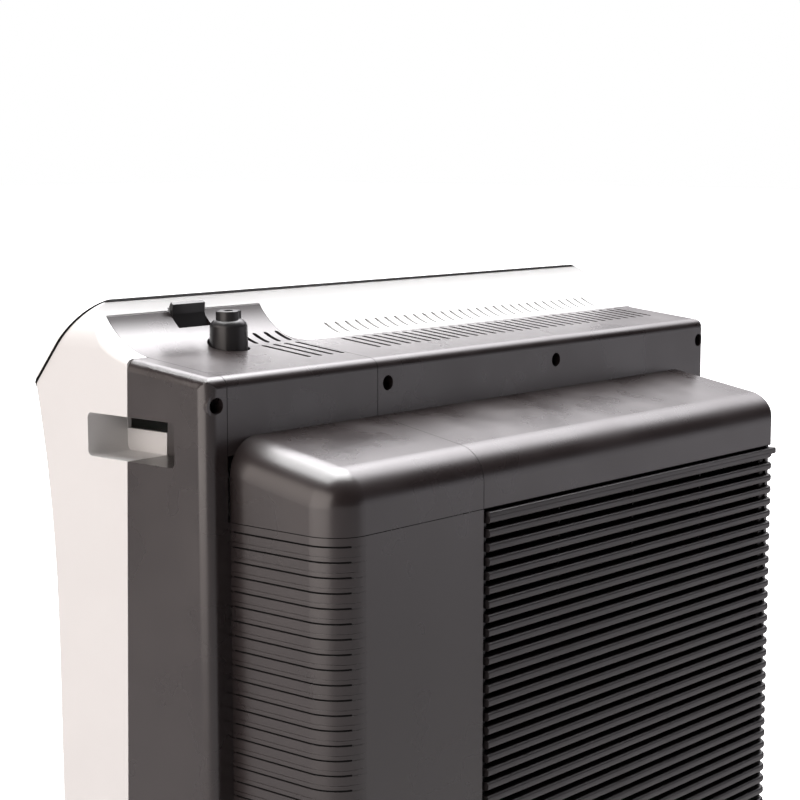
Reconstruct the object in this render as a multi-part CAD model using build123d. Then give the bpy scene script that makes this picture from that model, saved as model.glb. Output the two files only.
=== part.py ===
from build123d import *
import math
import os

os.makedirs("parts", exist_ok=True)

# A stationary oxygen concentrator: a wide upright housing whose white front shell carries a
# slanted control fascia, with dark covers behind it and a rounded box standing out of the back.
# Millimetres. x = 0 is the middle of the width, y = 0 the middle of the depth, z = 0 the floor.
# The front faces -Y. Most sizes are measured from the right side face, the back wall and the
# crest, so the helpers from_side, from_wall and from_crest turn them into coordinates.

# ---------------------------------------------------------------- overall sizes
WIDTH = 466.0                 # across the two side faces
HEIGHT = 620.0                # floor to crest
FRONT_REACH = 137.3           # back wall to the foremost line of the fascia
BOX_REACH = 75.0              # back wall to the rear face of the rear box
SLAT_PROUD = 2.0              # louvre slats stand this far out of the rear face
WALL = 3.0                    # moulded walls
SEAM = 0.4                    # open joint between two covers
TOUCH = 0.3                   # clearance round a piece that is only laid in its seat

# ---------------------------------------------------------------- housing outline
SLANT = 49.8                  # fascia slope, degrees
TIP_R = 6.0                   # foremost corner of the fascia
TIP_DROP = 44.7               # crest to the centre of that corner
FRONT_LEAN = 12.6             # front face just under the fascia, degrees off vertical
FRONT_REACH_LOW = 121.0       # back wall to the front face low down
FRONT_STRAIGHT_DROP = 330.0   # below this the front face is vertical
LEDGE_DEPTH = 57.0            # flat top of the dark rear housing
LEDGE_DROP = 28.4             # crest to the front line of the ledge
LEDGE_SLOPE = 6.0             # the ledge falls to the rear, degrees
SWEEP_R = 49.0                # concave sweep from the ledge up to the crest
CREST_R = 4.0                 # crest rounding
LEDGE_EDGE_R = 6.0            # ledge to back wall, and ledge to side face
BACK_CORNER_R = 7.0           # upright near corner at the back
BACK_FAR_R = 3.0              # upright far corner at the back
SHOULDER_R = 24.0             # crest rounding at the two side ends
SIDE_EDGE_R = 3.5             # edge of the side faces along the front and the fascia

# ---------------------------------------------------------------- joints between the covers
SPLIT_DEPTH = 61.1            # front shell to rear covers, on the side face
SPLIT_DEPTH_DROP = 91.5       # height under the crest where that depth holds
SPLIT_LEAN = 1.306            # the joint leans forward towards the floor, degrees
SEAM_A = 14.0                 # side cover to corner panel, from the right side face
SEAM_B = 129.6                # corner panel to rear housing, from the right side face
INSET_TOP = 91.7              # corner panel's upper edge on the sweep, from the back wall
INSET_FLARE_R = 14.0          # concave flare where the inset meets the ledge
INSET_REACH_DROP = 70.0       # the inset is cut out down to this far under the crest
FASCIA_T = 3.6                # fascia thickness
GASKET_T = 0.9                # black joint under the fascia
GASKET_W = 14.0               # width of the gasket's band at the side ends
GASKET_HALF = 19.0            # half height of its opening, along the slope

# ---------------------------------------------------------------- rear box
BOX_LEFT = 15.5               # right side face to the near side of the box
BOX_RIGHT = 432.0             # right side face to the far side of the box
BOX_TOP_DROP = 65.7           # crest to the box top, at the wall
BOX_TOP_SLOPE = 10.0          # box top falls to the rear, degrees
BOX_CORNER_R = 20.0           # upright near corner
BOX_EDGE_R = 19.0             # top edges
BOX_FAR_R = 3.0               # upright far corner
CAP_DROP = 109.0              # crest to the seam under the caps
SLAT_PITCH = 7.756            # louvre and rib pitch
SLAT_COUNT = 44
SLAT_H = 4.6                  # slat height
SLAT_DEPTH = 9.0              # slat depth behind its nose
LOUVRE_TOP_DROP = 111.2       # crest to the louvre's top edge
LOUVRE_GAP = 2.8              # dark joint left of the louvre
RIB_DEPTH = 0.6               # grooves of the ribbed panel, measured across the width
RIB_W = 0.9
RIB_FINE_DEPTH = 0.3          # a finer groove over each of them
RIB_FINE_W = 0.5
RIB_FINE_RISE = 0.36 * SLAT_PITCH
RIB_FIRST_DROP = 113.8        # crest to the first groove

# ---------------------------------------------------------------- hand grips and vents
GRIP_FRONT = 92.1             # back wall to the grip's front end
GRIP_BACK = 24.7              # back wall to the grip's rear end
GRIP_TOP_DROP = 58.5          # crest to the grip's upper edge
GRIP_H = 23.5
GRIP_DEPTH = 28.0             # how far a hand reaches in
GRIP_R = 3.0
GRIP_WALL = 2.5
VENT_PITCH = 9.0
VENT_W = 3.2
VENT_REAR = 22.0              # back wall to the rear end of the ledge slots
VENT_FRONT = 59.0             # back wall to their front end
KNOB_VENT_FIRST = 99.0        # first slot beside the knob, from the right side face
KNOB_VENT_COUNT = 4
SWEEP_VENT_REAR = 62.5        # slots that climb the sweep
SWEEP_VENT_FRONT = 75.0
GRILLE_FIRST = 161.5          # first slot of the long grille, from the right side face
GRILLE_COUNT = 32
GRILLE_REAR = 26.0
GRILLE_FRONT = 56.0
SHELL_VENT_FIRST = 170.5      # first slot in the white sweep in front of the long grille
SHELL_VENT_COUNT = 30
SHELL_VENT_REAR = 65.5
SHELL_VENT_FRONT = 78.0

# ---------------------------------------------------------------- flow knob and catch
KNOB_SIDE = 77.0              # knob axis from the right side face
KNOB_DEPTH = 63.0             # knob axis from the back wall
KNOB_R = 10.75
KNOB_HOLE_R = 11.9
KNOB_TOP_DROP = 7.5           # crest to the knob's top
KNOB_SHOULDER_DROP = 16.0
KNOB_BASE_DROP = 31.0
GRIP_TAB_W = 13.5             # finger grip on top of the knob
GRIP_TAB_LEN = 17.0
STEM_R = 3.0
STEM_FIT = 0.05
CATCH_NEAR = 59.0             # catch pocket, from the right side face
CATCH_FAR = 84.0
CATCH_REAR = 83.4             # rear edge of the pocket, from the back wall
CATCH_PIN_R = 1.2
CATCH_PIN_DEPTH = 87.0        # catch pin from the back wall
CATCH_PIN_DROP = 21.0
CATCH_PIN_FIT = 0.05
LUG_T = 3.0                   # lugs that hold the catch pin
LUG_HALF = 3.0

# ---------------------------------------------------------------- screws
WELL_R = 4.25                 # dark screw wells in the back wall
WELL_DEPTH = 8.0
WELL_DROP = 48.2
WELL_WALL = 1.8
WELL_SIDES = (6.9, 138.3, 296.2, 460.0)
SCREW_R = 1.6
SCREW_FIT = 0.1
SCREW_HEAD_R = 3.4
SCREW_HEAD_H = 2.4

# ---------------------------------------------------------------- base
FOOT_H = 12.0
FOOT_R = 17.0
FOOT_INSET = 38.0
PLATE_T = 4.0
LOWER_COVER_TOP = HEIGHT - LOUVRE_TOP_DROP - SLAT_COUNT * SLAT_PITCH

# ---------------------------------------------------------------- chassis and inner units
BULKHEAD_DEPTH = 14.0         # back wall to the bulkhead
BULKHEAD_T = 3.0
BED_R = 38.0                  # sieve beds
BED_H = 360.0
BED_CAP_R = 41.0
BED_CAP_H = 14.0
BED_SIDES = (383.0, 293.0)
BED_DEPTH = 66.0
TANK_R = 33.0
TANK_H = 330.0
MOTOR_R = 38.0
MOTOR_Z = 112.0
MOTOR_DEPTH = -29.0           # behind the wall plane
FAN_SIZE = 119.0
FAN_T = 32.0
FAN_Z = 330.0

# ---------------------------------------------------------------- derived places
X_SIDE = WIDTH / 2
Y_WALL = (FRONT_REACH - BOX_REACH - SLAT_PROUD) / 2
SHELL_Z = FOOT_H + PLATE_T
CAP_Z = HEIGHT - CAP_DROP
LOUVRE_TOP = HEIGHT - LOUVRE_TOP_DROP


def from_side(distance):
    """x of a place measured from the right side face."""
    return X_SIDE - distance


def from_wall(distance):
    """y of a place measured forwards from the back wall."""
    return Y_WALL - distance


def from_crest(drop):
    """z of a place measured down from the crest."""
    return HEIGHT - drop


BOX_X1 = from_side(BOX_LEFT)
BOX_X0 = from_side(BOX_RIGHT)
Y_BOX = Y_WALL + BOX_REACH
BULKHEAD_Y1 = from_wall(BULKHEAD_DEPTH)
BULKHEAD_Y0 = BULKHEAD_Y1 - BULKHEAD_T
FRONT_Y = from_wall(FRONT_REACH_LOW)


# ---------------------------------------------------------------- small helpers
def block(x0, x1, y0, y1, z0, z1):
    return Pos((x0 + x1) / 2, (y0 + y1) / 2, (z0 + z1) / 2) * Box(x1 - x0, y1 - y0, z1 - z0)


def along_x(outline, x0, x1):
    """Extrude an outline drawn in (y, z) from x0 to x1."""
    return extrude(Plane.YZ.offset(x0) * outline, x1 - x0)


def along_y(outline, y0, y1):
    """Extrude an outline drawn in (x, z) from y0 to y1."""
    return extrude(Plane.XZ.offset(-y0) * outline, y0 - y1)


def along_z(outline, z0, z1):
    """Extrude an outline drawn in (x, y) from z0 to z1."""
    return extrude(Plane.XY.offset(z0) * outline, z1 - z0)


def polygon(*points):
    return make_face(Polyline(*points, close=True))


def rod_x(radius, x0, x1, y, z):
    return along_x(Pos(y, z) * Circle(radius), x0, x1)


def rod_y(radius, y0, y1, x, z):
    return along_y(Pos(x, z) * Circle(radius), y0, y1)


def rod_z(radius, z0, z1, x, y):
    return along_z(Pos(x, y) * Circle(radius), z0, z1)


def rounded_rect(x0, x1, y0, y1, radii):
    """A rectangle with its own radius at (x0,y0), (x1,y0), (x1,y1) and (x0,y1)."""
    face = polygon((x0, y0), (x1, y0), (x1, y1), (x0, y1))
    corners = ((x0, y0), (x1, y0), (x1, y1), (x0, y1))
    for (cx, cy), radius in zip(corners, radii):
        if radius > 0:
            near = face.vertices().sort_by_distance((cx, cy, 0))[0]
            face = fillet(near, radius)
    return face


def tube(points, radius, bore, bends):
    """A hose along straight runs joined by tangent arcs."""
    path = FilletPolyline(*points, radius=bends)
    start = Plane(origin=path @ 0, z_dir=path % 0)
    section = start * (Circle(radius) - Circle(bore))
    return sweep(section, path)


# ---------------------------------------------------------------- housing form
def polar(centre, radius, degrees):
    angle = math.radians(degrees)
    return (centre[0] + radius * math.cos(angle), centre[1] + radius * math.sin(angle))


def tip_centre():
    """Centre of the foremost corner's rounding, in (y, z)."""
    return (from_wall(FRONT_REACH) + TIP_R, from_crest(TIP_DROP))


def slant_start(inset=0):
    """Where the fascia's flat slope leaves the foremost corner, in (y, z)."""
    return polar(tip_centre(), TIP_R - inset, 90 + SLANT)


def sweep_centre():
    start = (from_wall(LEDGE_DEPTH), from_crest(LEDGE_DROP))
    return polar(start, SWEEP_R, 90 - LEDGE_SLOPE)


def crest_point(inset=0):
    """Where the fascia's slope would meet the sweep, before the crest is rounded."""
    start, centre = slant_start(inset), sweep_centre()
    radius = SWEEP_R + inset
    ux, uz = math.cos(math.radians(SLANT)), math.sin(math.radians(SLANT))
    dx, dz = start[0] - centre[0], start[1] - centre[1]
    along = dx * ux + dz * uz
    reach = -along - math.sqrt(along ** 2 - dx ** 2 - dz ** 2 + radius ** 2)
    return (start[0] + reach * ux, start[1] + reach * uz)


def housing_outline(inset):
    """Side view of the housing, in (y, z): front face, fascia, crest, sweep, ledge, back wall."""
    under_tip = polar(tip_centre(), TIP_R - inset, 180 + FRONT_LEAN)
    foremost = polar(tip_centre(), TIP_R - inset, 180)
    over_tip = slant_start(inset)
    crest, centre = crest_point(inset), sweep_centre()
    radius = SWEEP_R + inset
    crest_angle = math.degrees(math.atan2(crest[1] - centre[1], crest[0] - centre[0]))
    ledge_angle = -90 - LEDGE_SLOPE
    sweep_middle = polar(centre, radius, (crest_angle + ledge_angle) / 2)
    ledge_front = polar(centre, radius, ledge_angle)
    back = Y_WALL - inset
    ledge_back = (back, ledge_front[1] - (back - ledge_front[0]) * math.tan(math.radians(LEDGE_SLOPE)))
    front = FRONT_Y + inset
    front_low = (front, from_crest(FRONT_STRAIGHT_DROP))
    lean = math.radians(FRONT_LEAN)
    front_curve = Spline(
        front_low, (front - 0.6, from_crest(230)), (front - 4.4, from_crest(121)), under_tip,
        tangents=((0, 1), (-math.sin(lean), math.cos(lean))),
    )
    face = make_face([
        Line((front, SHELL_Z), front_low),
        front_curve,
        ThreePointArc(under_tip, foremost, over_tip),
        Line(over_tip, crest),
        ThreePointArc(crest, sweep_middle, ledge_front),
        Line(ledge_front, ledge_back),
        Line(ledge_back, (back, SHELL_Z)),
        Line((back, SHELL_Z), (front, SHELL_Z)),
    ])
    face = fillet(face.vertices().sort_by_distance((*crest, 0))[0], max(CREST_R - inset, 0.5))
    return fillet(face.vertices().sort_by_distance((*ledge_back, 0))[0], max(LEDGE_EDGE_R - inset, 0.5))


def housing_form(inset):
    """The housing's outer form, drawn in by inset on every side but the bottom."""
    half = X_SIDE - inset
    form = along_x(housing_outline(inset), -half, half)
    if not inset:
        crest_y = crest_point()[0]
        front_edges = [e for e in form.edges() if abs(abs(e.center().X) - half) < 0.01
                       and e.center().Y < crest_y + CREST_R and e.center().Z > SHELL_Z + 1]
        form = fillet(front_edges, SIDE_EDGE_R)
    near_r, far_r = max(BACK_CORNER_R - inset, 1.0), max(BACK_FAR_R - inset, 1.0)
    shoulder_r = SHOULDER_R - inset
    plan = rounded_rect(-half, half, from_wall(FRONT_REACH + 20), Y_WALL - inset, (0, 0, near_r, far_r))
    front = rounded_rect(-half, half, SHELL_Z - 5, HEIGHT - inset, (0, 0, shoulder_r, shoulder_r))
    form = form & along_z(plan, SHELL_Z - 1, HEIGHT + 10)
    return form & along_y(front, from_wall(FRONT_REACH + 20), Y_WALL + 5)


def split_y(z):
    """y of the joint between front shell and rear covers at a height."""
    lean = math.tan(math.radians(SPLIT_LEAN))
    return from_wall(SPLIT_DEPTH) + (z - from_crest(SPLIT_DEPTH_DROP)) * lean


def behind_split(gap):
    """Everything behind the front shell's rear edge, moved back by gap."""
    low, high = SHELL_Z - 5, HEIGHT + 20
    outline = polygon((split_y(low) + gap, low), (Y_WALL + 5, low), (Y_WALL + 5, high), (split_y(high) + gap, high))
    return along_x(outline, -X_SIDE - 5, X_SIDE + 5)


def fascia_plane():
    """Plane on the fascia's slope: x along the width, y up the slope, z outwards."""
    start, crest = slant_start(), crest_point()
    middle = ((start[0] + crest[0]) / 2, (start[1] + crest[1]) / 2)
    angle = math.radians(SLANT)
    return Plane(origin=(0, *middle), x_dir=(1, 0, 0), z_dir=(0, -math.sin(angle), math.cos(angle)))


def fascia_layer(depth0, depth1):
    """A slab parallel to the fascia, between two depths under its face."""
    slab = Pos(0, 0, -(depth0 + depth1) / 2) * Box(WIDTH + 20, 160, depth1 - depth0)
    return fascia_plane() * slab


def fascia_block(x0, x1, y0, y1, depth0, depth1):
    size = Box(x1 - x0, y1 - y0, depth1 - depth0)
    return fascia_plane() * (Pos((x0 + x1) / 2, (y0 + y1) / 2, -(depth0 + depth1) / 2) * size)


def fascia_rod(radius, x, y, depth0, depth1):
    rod = Cylinder(radius, depth1 - depth0)
    return fascia_plane() * (Pos(x, y, -(depth0 + depth1) / 2) * rod)


OUTER = housing_form(0)
INNER = housing_form(WALL)
SHELL = OUTER - INNER


# ---------------------------------------------------------------- front shell and fascia
LAYER_SHELL = FASCIA_T + GASKET_T          # depth of the shell's face under the fascia
BOARD_DEPTH = LAYER_SHELL + WALL           # the display board lies on the shell's inner face
WINDOW_X = 200.0                           # half width of the shell's opening under the fascia
WINDOW_Y = 15.0
DISPLAY_X = 70.0                           # half width of the display window
DISPLAY_Y = 13.0
DISPLAY_T = 2.0
BUTTON_TRAVEL = 1.2
BUTTON_PROUD = 1.0
BUTTON_FIT = 0.3
BUTTON_FLANGE = 1.6
BUTTONS = {                                # name: (x on the fascia, radius)
    "power_button": (-160.0, 11.0),
    "alarm_mute_button": (-115.0, 8.0),
    "timer_down_button": (112.0, 8.0),
    "timer_up_button": (140.0, 8.0),
}
OUTLET_X = 150.0                           # oxygen outlet on the front face
OUTLET_DROP = 205.0
OUTLET_CUP_R = 21.0
OUTLET_CUP_DEPTH = 24.0
OUTLET_FLANGE_R = 9.0
OUTLET_FLANGE_T = 3.0
BARB_R = 3.2
BARB_LEN = 17.0
BARB_BORE_R = 1.6


def grip_pocket(side, grow):
    """The space of a hand grip, grown outwards by a wall; side is +1 right, -1 left."""
    y0, y1 = from_wall(GRIP_FRONT) - grow, from_wall(GRIP_BACK) + grow
    z0, z1 = from_crest(GRIP_TOP_DROP + GRIP_H) - grow, from_crest(GRIP_TOP_DROP) + grow
    radii = (GRIP_R + grow,) * 4
    inner_x = X_SIDE - GRIP_DEPTH - grow
    outer_x = X_SIDE + (1 if not grow else -0.5)
    outline = rounded_rect(y0, y1, z0, z1, radii)
    pocket = along_x(outline, inner_x, outer_x)
    return pocket if side > 0 else mirror(pocket, Plane.YZ)


def vent_row(first, count, depth_rear, depth_front, drop_low, drop_high):
    """Upright cutters for a row of slots that run front to back."""
    centre_y = (from_wall(depth_rear) + from_wall(depth_front)) / 2
    slot = SlotOverall(depth_front - depth_rear, VENT_W, rotation=90)
    cutters = [along_z(Pos(from_side(first + VENT_PITCH * i), centre_y) * slot,
                       from_crest(drop_high), from_crest(drop_low)) for i in range(count)]
    return Part() + cutters


def inset_region(gap):
    """Plan of the dark inset, through the full height, grown by gap."""
    back = from_wall(SPLIT_DEPTH) + 6
    front = from_wall(INSET_TOP) - gap
    plan = polygon((from_side(SEAM_A) + gap, front), (from_side(SEAM_B) - gap, front),
                   (from_side(SEAM_B) - gap, back), (from_side(SEAM_A) + gap, back))
    return along_z(plan, from_crest(INSET_REACH_DROP), HEIGHT + 5)


def flare_region(gap):
    """The concave flare right of seam B, where the inset runs into the ledge."""
    r = INSET_FLARE_R
    x1 = from_side(SEAM_B)
    y1 = split_y(from_crest(LEDGE_DROP))
    square = polygon((x1 - r, y1 - r), (x1, y1 - r), (x1, y1 + 2), (x1 - r, y1 + 2))
    flare = square - Pos(x1 - r, y1 - r) * Circle(r - gap)
    return along_z(flare, from_crest(40), HEIGHT + 5)


def make_control_fascia():
    """The slanted front panel, with the display's and the buttons' openings."""
    fascia = OUTER & fascia_layer(-30, FASCIA_T)
    fascia -= fascia_block(-DISPLAY_X, DISPLAY_X, -DISPLAY_Y, DISPLAY_Y, -1, DISPLAY_T)
    fascia -= fascia_block(-DISPLAY_X + 3, DISPLAY_X - 3, -DISPLAY_Y + 3, DISPLAY_Y - 3, -1, FASCIA_T + 1)
    for x, radius in BUTTONS.values():
        fascia -= fascia_rod(radius + BUTTON_FIT, x, 0, -1, FASCIA_T + 1)
    return fascia


def make_display_window():
    gap = TOUCH / 2
    return fascia_block(-DISPLAY_X + gap, DISPLAY_X - gap, -DISPLAY_Y + gap, DISPLAY_Y - gap, 0.1, DISPLAY_T)


def make_fascia_gasket():
    """Thin black band that shows as a line all round the fascia."""
    band = OUTER & fascia_layer(FASCIA_T, LAYER_SHELL)
    return band - fascia_block(-X_SIDE + GASKET_W, X_SIDE - GASKET_W, -GASKET_HALF, GASKET_HALF, 0, 10)


def inset_rim():
    """Rebate under the dark inset, which the corner panel rests on."""
    lap, over = 4.0, 5.0
    z0, z1 = from_crest(60), HEIGHT + 1
    band = block(from_side(SEAM_B + over), from_side(SEAM_A - over), from_wall(INSET_TOP + over),
                 split_y(from_crest(LEDGE_DROP)), z0, z1)
    hole = block(from_side(SEAM_B - lap), from_side(SEAM_A + lap), from_wall(INSET_TOP - lap), Y_WALL,
                 z0 - 1, z1 + 1)
    rim = (INNER & (band - hole)) - housing_form(WALL + 2.0) - fascia_layer(-30, LAYER_SHELL)
    return rim - catch_notch(4.0)


def catch_notch(margin):
    """Room for the catch and its lugs in the shell's edge."""
    return block(from_side(CATCH_FAR + margin), from_side(CATCH_NEAR - margin), from_wall(INSET_TOP + 1.2),
                 Y_WALL, from_crest(60), HEIGHT + 1)


def make_front_shell():
    """White moulding: front face, side faces, sweep, the front parts of both grips."""
    shell = SHELL + (OUTER & fascia_layer(LAYER_SHELL, BOARD_DEPTH))
    for side in (1, -1):
        shell += grip_pocket(side, GRIP_WALL) & INNER
    shell -= behind_split(0)
    shell -= fascia_layer(-30, LAYER_SHELL)
    shell -= inset_region(SEAM / 2)
    shell -= flare_region(SEAM / 2)
    shell += inset_rim()
    shell -= catch_notch(0)
    for side in (1, -1):
        shell -= grip_pocket(side, 0)
    shell -= fascia_block(-WINDOW_X, WINDOW_X, -WINDOW_Y, WINDOW_Y, LAYER_SHELL - 1, BOARD_DEPTH + 1)
    shell -= vent_row(SHELL_VENT_FIRST, SHELL_VENT_COUNT, SHELL_VENT_REAR, SHELL_VENT_FRONT, 5, 60)
    return shell - outlet_rod(OUTLET_CUP_R + GRIP_WALL, OUTLET_CUP_DEPTH + GRIP_WALL)


def front_face_y():
    """y of the front face at the outlet's height."""
    return from_wall(122.0)


def outlet_rod(radius, depth):
    """A rod on the outlet's axis, from in front of the housing to a depth behind its face."""
    return rod_y(radius, front_face_y() - 20, front_face_y() + depth, OUTLET_X, from_crest(OUTLET_DROP))


def make_outlet_cup():
    """Recessed cup round the oxygen outlet, let into the front face and flush with it."""
    cup = outlet_rod(OUTLET_CUP_R + GRIP_WALL, OUTLET_CUP_DEPTH + GRIP_WALL) & OUTER
    cup -= outlet_rod(OUTLET_CUP_R, OUTLET_CUP_DEPTH)
    return cup - outlet_rod(BARB_R + TOUCH, OUTLET_CUP_DEPTH + GRIP_WALL + 1)


def make_display_board():
    """Circuit board under the fascia: display module and one switch dome for each button."""
    board = fascia_block(-WINDOW_X - 8, WINDOW_X + 8, -WINDOW_Y - 4, WINDOW_Y + 4, BOARD_DEPTH, BOARD_DEPTH + 1.6)
    board += fascia_block(-DISPLAY_X + 5, DISPLAY_X - 5, -DISPLAY_Y + 4, DISPLAY_Y - 4,
                          DISPLAY_T + 0.5, BOARD_DEPTH)
    for x, _ in BUTTONS.values():
        board += fascia_rod(3.0, x, 0, dome_depth(), BOARD_DEPTH)
    return board


def dome_depth():
    """Depth of the switch domes: a button's stem stops just short of them at full travel."""
    return FASCIA_T + TOUCH + BUTTON_FLANGE + BUTTON_TRAVEL + TOUCH


def make_button(name):
    x, radius = BUTTONS[name]
    cap = fascia_rod(radius, x, 0, -BUTTON_PROUD, FASCIA_T + TOUCH)
    cap = fillet(cap.edges().filter_by(GeomType.CIRCLE).sort_by(Axis.Z)[-1], 0.6)
    return cap + fascia_rod(radius + 1.8, x, 0, FASCIA_T + TOUCH, FASCIA_T + TOUCH + BUTTON_FLANGE)


# ---------------------------------------------------------------- rear covers
def inside_seams(x_from, x_to):
    """Everything between two distances from the right side face."""
    return block(from_side(x_to), from_side(x_from), from_wall(FRONT_REACH + 20), Y_BOX + 10, 0, HEIGHT + 20)


def ledge_rounding():
    """Limits the rear covers so that the ledge rounds over into the side faces."""
    front = rounded_rect(-X_SIDE, X_SIDE, SHELL_Z - 60, from_crest(LEDGE_DROP), (0, 0, LEDGE_EDGE_R, LEDGE_EDGE_R))
    slope = math.radians(LEDGE_SLOPE)
    direction = Vector(0, math.cos(slope), -math.sin(slope))
    face = Plane.XZ.offset(-from_wall(LEDGE_DEPTH + 12)) * Pos(0, 12 * math.tan(slope)) * front
    return extrude(face, amount=LEDGE_DEPTH + 40, dir=direction)


def screw_wells(sides, drops):
    """Bosses for the wells, and the cutters that open them."""
    bosses, cutters = Part(), Part()
    for side in sides:
        for drop in drops:
            x, z = from_side(side), from_crest(drop)
            bosses += rod_y(WELL_R + WELL_WALL, BULKHEAD_Y1, Y_WALL - 1, x, z)
            cutters += rod_y(WELL_R, Y_WALL - WELL_DEPTH, Y_WALL + 1, x, z)
            cutters += rod_y(SCREW_R + SCREW_FIT, BULKHEAD_Y0 - 5, Y_WALL, x, z)
    return bosses, cutters


LOW_WELL_DROP = HEIGHT - 60.0  # wells of the side covers, by their height over the floor
MID_WELL_DROP = HEIGHT - 330.0
FLANGE = 10.0                  # how far the back-wall flanges reach behind the rear box
COVER_LIP_DROP = BOX_TOP_DROP + 9.0


def rear_skin():
    return (SHELL & behind_split(SEAM)) & ledge_rounding()


def make_side_cover():
    """Dark cover of the right side: side face, back corner, rear part of the grip."""
    skin = rear_skin()
    upper = skin & inside_seams(-5, SEAM_A - SEAM / 2)
    lower = skin & inside_seams(-5, BOX_LEFT + FLANGE) & block(-X_SIDE, X_SIDE, -200, 200, 0, CAP_Z)
    cover = upper + lower
    cover += (grip_pocket(1, GRIP_WALL) & INNER) & behind_split(SEAM)
    bosses, cutters = screw_wells(WELL_SIDES[:1], (WELL_DROP, MID_WELL_DROP, LOW_WELL_DROP))
    cover += bosses & inside_seams(0.5, SEAM_A - SEAM / 2)
    return cover - cutters - grip_pocket(1, 0)


def make_rear_housing():
    """Long dark moulding: ledge with its grille, back wall, left side, far wall of the box."""
    skin = rear_skin() & inside_seams(SEAM_B + SEAM / 2, WIDTH + 5)
    flare = (SHELL & flare_region(-SEAM / 2)) - behind_split(SEAM)
    skin += flare & inside_seams(SEAM_B + SEAM / 2, WIDTH)
    window = block(from_side(BOX_RIGHT - FLANGE), from_side(SEAM_B) + 5, Y_WALL - WALL - 1, Y_WALL + 1,
                   0, from_crest(COVER_LIP_DROP))
    skin -= window
    skin += (grip_pocket(-1, GRIP_WALL) & INNER) & behind_split(SEAM)
    skin += block(BOX_X0, BOX_X0 + WALL, Y_WALL - WALL, Y_BOX - WALL, LOWER_COVER_TOP, CAP_Z - SEAM)
    bosses, cutters = screw_wells(WELL_SIDES[1:], (WELL_DROP,))
    low_bosses, low_cutters = screw_wells(WELL_SIDES[3:], (MID_WELL_DROP, LOW_WELL_DROP))
    skin += (bosses + low_bosses) & inside_seams(SEAM_B + SEAM / 2, WIDTH - 0.5)
    skin -= cutters + low_cutters
    skin -= vent_row(GRILLE_FIRST, GRILLE_COUNT, GRILLE_REAR, GRILLE_FRONT, 20, 45)
    return skin - grip_pocket(-1, 0)


def knob_xy():
    return from_side(KNOB_SIDE), from_wall(KNOB_DEPTH)


def make_corner_panel():
    """Lift-off cover: back wall strip, ledge and dark inset, with the knob's hole and the catch."""
    between = inside_seams(SEAM_A + SEAM / 2, SEAM_B - SEAM / 2)
    panel = rear_skin() & between & block(-X_SIDE, X_SIDE, -200, 200, from_crest(COVER_LIP_DROP), HEIGHT)
    panel += (SHELL & inset_region(-SEAM / 2)) - behind_split(SEAM + 1)
    panel -= fascia_layer(-30, LAYER_SHELL + 1)
    x, y = knob_xy()
    panel -= rod_z(KNOB_HOLE_R, from_crest(45), HEIGHT, x, y)
    panel -= vent_row(KNOB_VENT_FIRST, KNOB_VENT_COUNT, VENT_REAR, VENT_FRONT, 20, 45)
    panel -= vent_row(KNOB_VENT_FIRST, KNOB_VENT_COUNT, SWEEP_VENT_REAR, SWEEP_VENT_FRONT, 10, 45)
    panel -= block(from_side(CATCH_FAR), from_side(CATCH_NEAR), from_wall(INSET_TOP + 2), from_wall(CATCH_REAR),
                   from_crest(26), HEIGHT)
    lug_top = from_crest(CATCH_PIN_DROP) + 12
    lug_limit = along_x(housing_outline(WALL / 2), from_side(SEAM_B), from_side(SEAM_A))
    for x0 in (from_side(CATCH_FAR) - LUG_T, from_side(CATCH_NEAR)):
        panel += block(x0, x0 + LUG_T, from_wall(CATCH_PIN_DEPTH + LUG_HALF), from_wall(CATCH_PIN_DEPTH - LUG_HALF),
                       from_crest(CATCH_PIN_DROP) - LUG_HALF, lug_top) & lug_limit
    return panel - make_catch_pin()


def make_catch():
    """Sprung finger tab in the corner panel's top edge; it turns on a cross pin."""
    x0, x1 = from_side(CATCH_FAR) + TOUCH, from_side(CATCH_NEAR) - TOUCH
    y, z = from_wall(CATCH_PIN_DEPTH), from_crest(CATCH_PIN_DROP)
    # the tab leans forwards and up from the pin to a thick lip
    tab = polygon((y - 4.6, z + 15.2), (y - 3.2, z + 17.6), (y - 1.6, z + 16.4), (y - 2.0, z + 11),
                  (y + 0.8, z + 1.0), (y - 1.6, z + 0.4))
    lever = along_x(tab, x0, x1) + rod_x(CATCH_PIN_R + 1.6, x0, x1, y, z)
    return lever - rod_x(CATCH_PIN_R + CATCH_PIN_FIT, x0 - 1, x1 + 1, y, z)


def make_catch_pin():
    """Cross pin, pressed into both lugs."""
    reach = LUG_T - 0.5
    return rod_x(CATCH_PIN_R, from_side(CATCH_FAR) - reach, from_side(CATCH_NEAR) + reach,
                 from_wall(CATCH_PIN_DEPTH), from_crest(CATCH_PIN_DROP))


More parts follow.
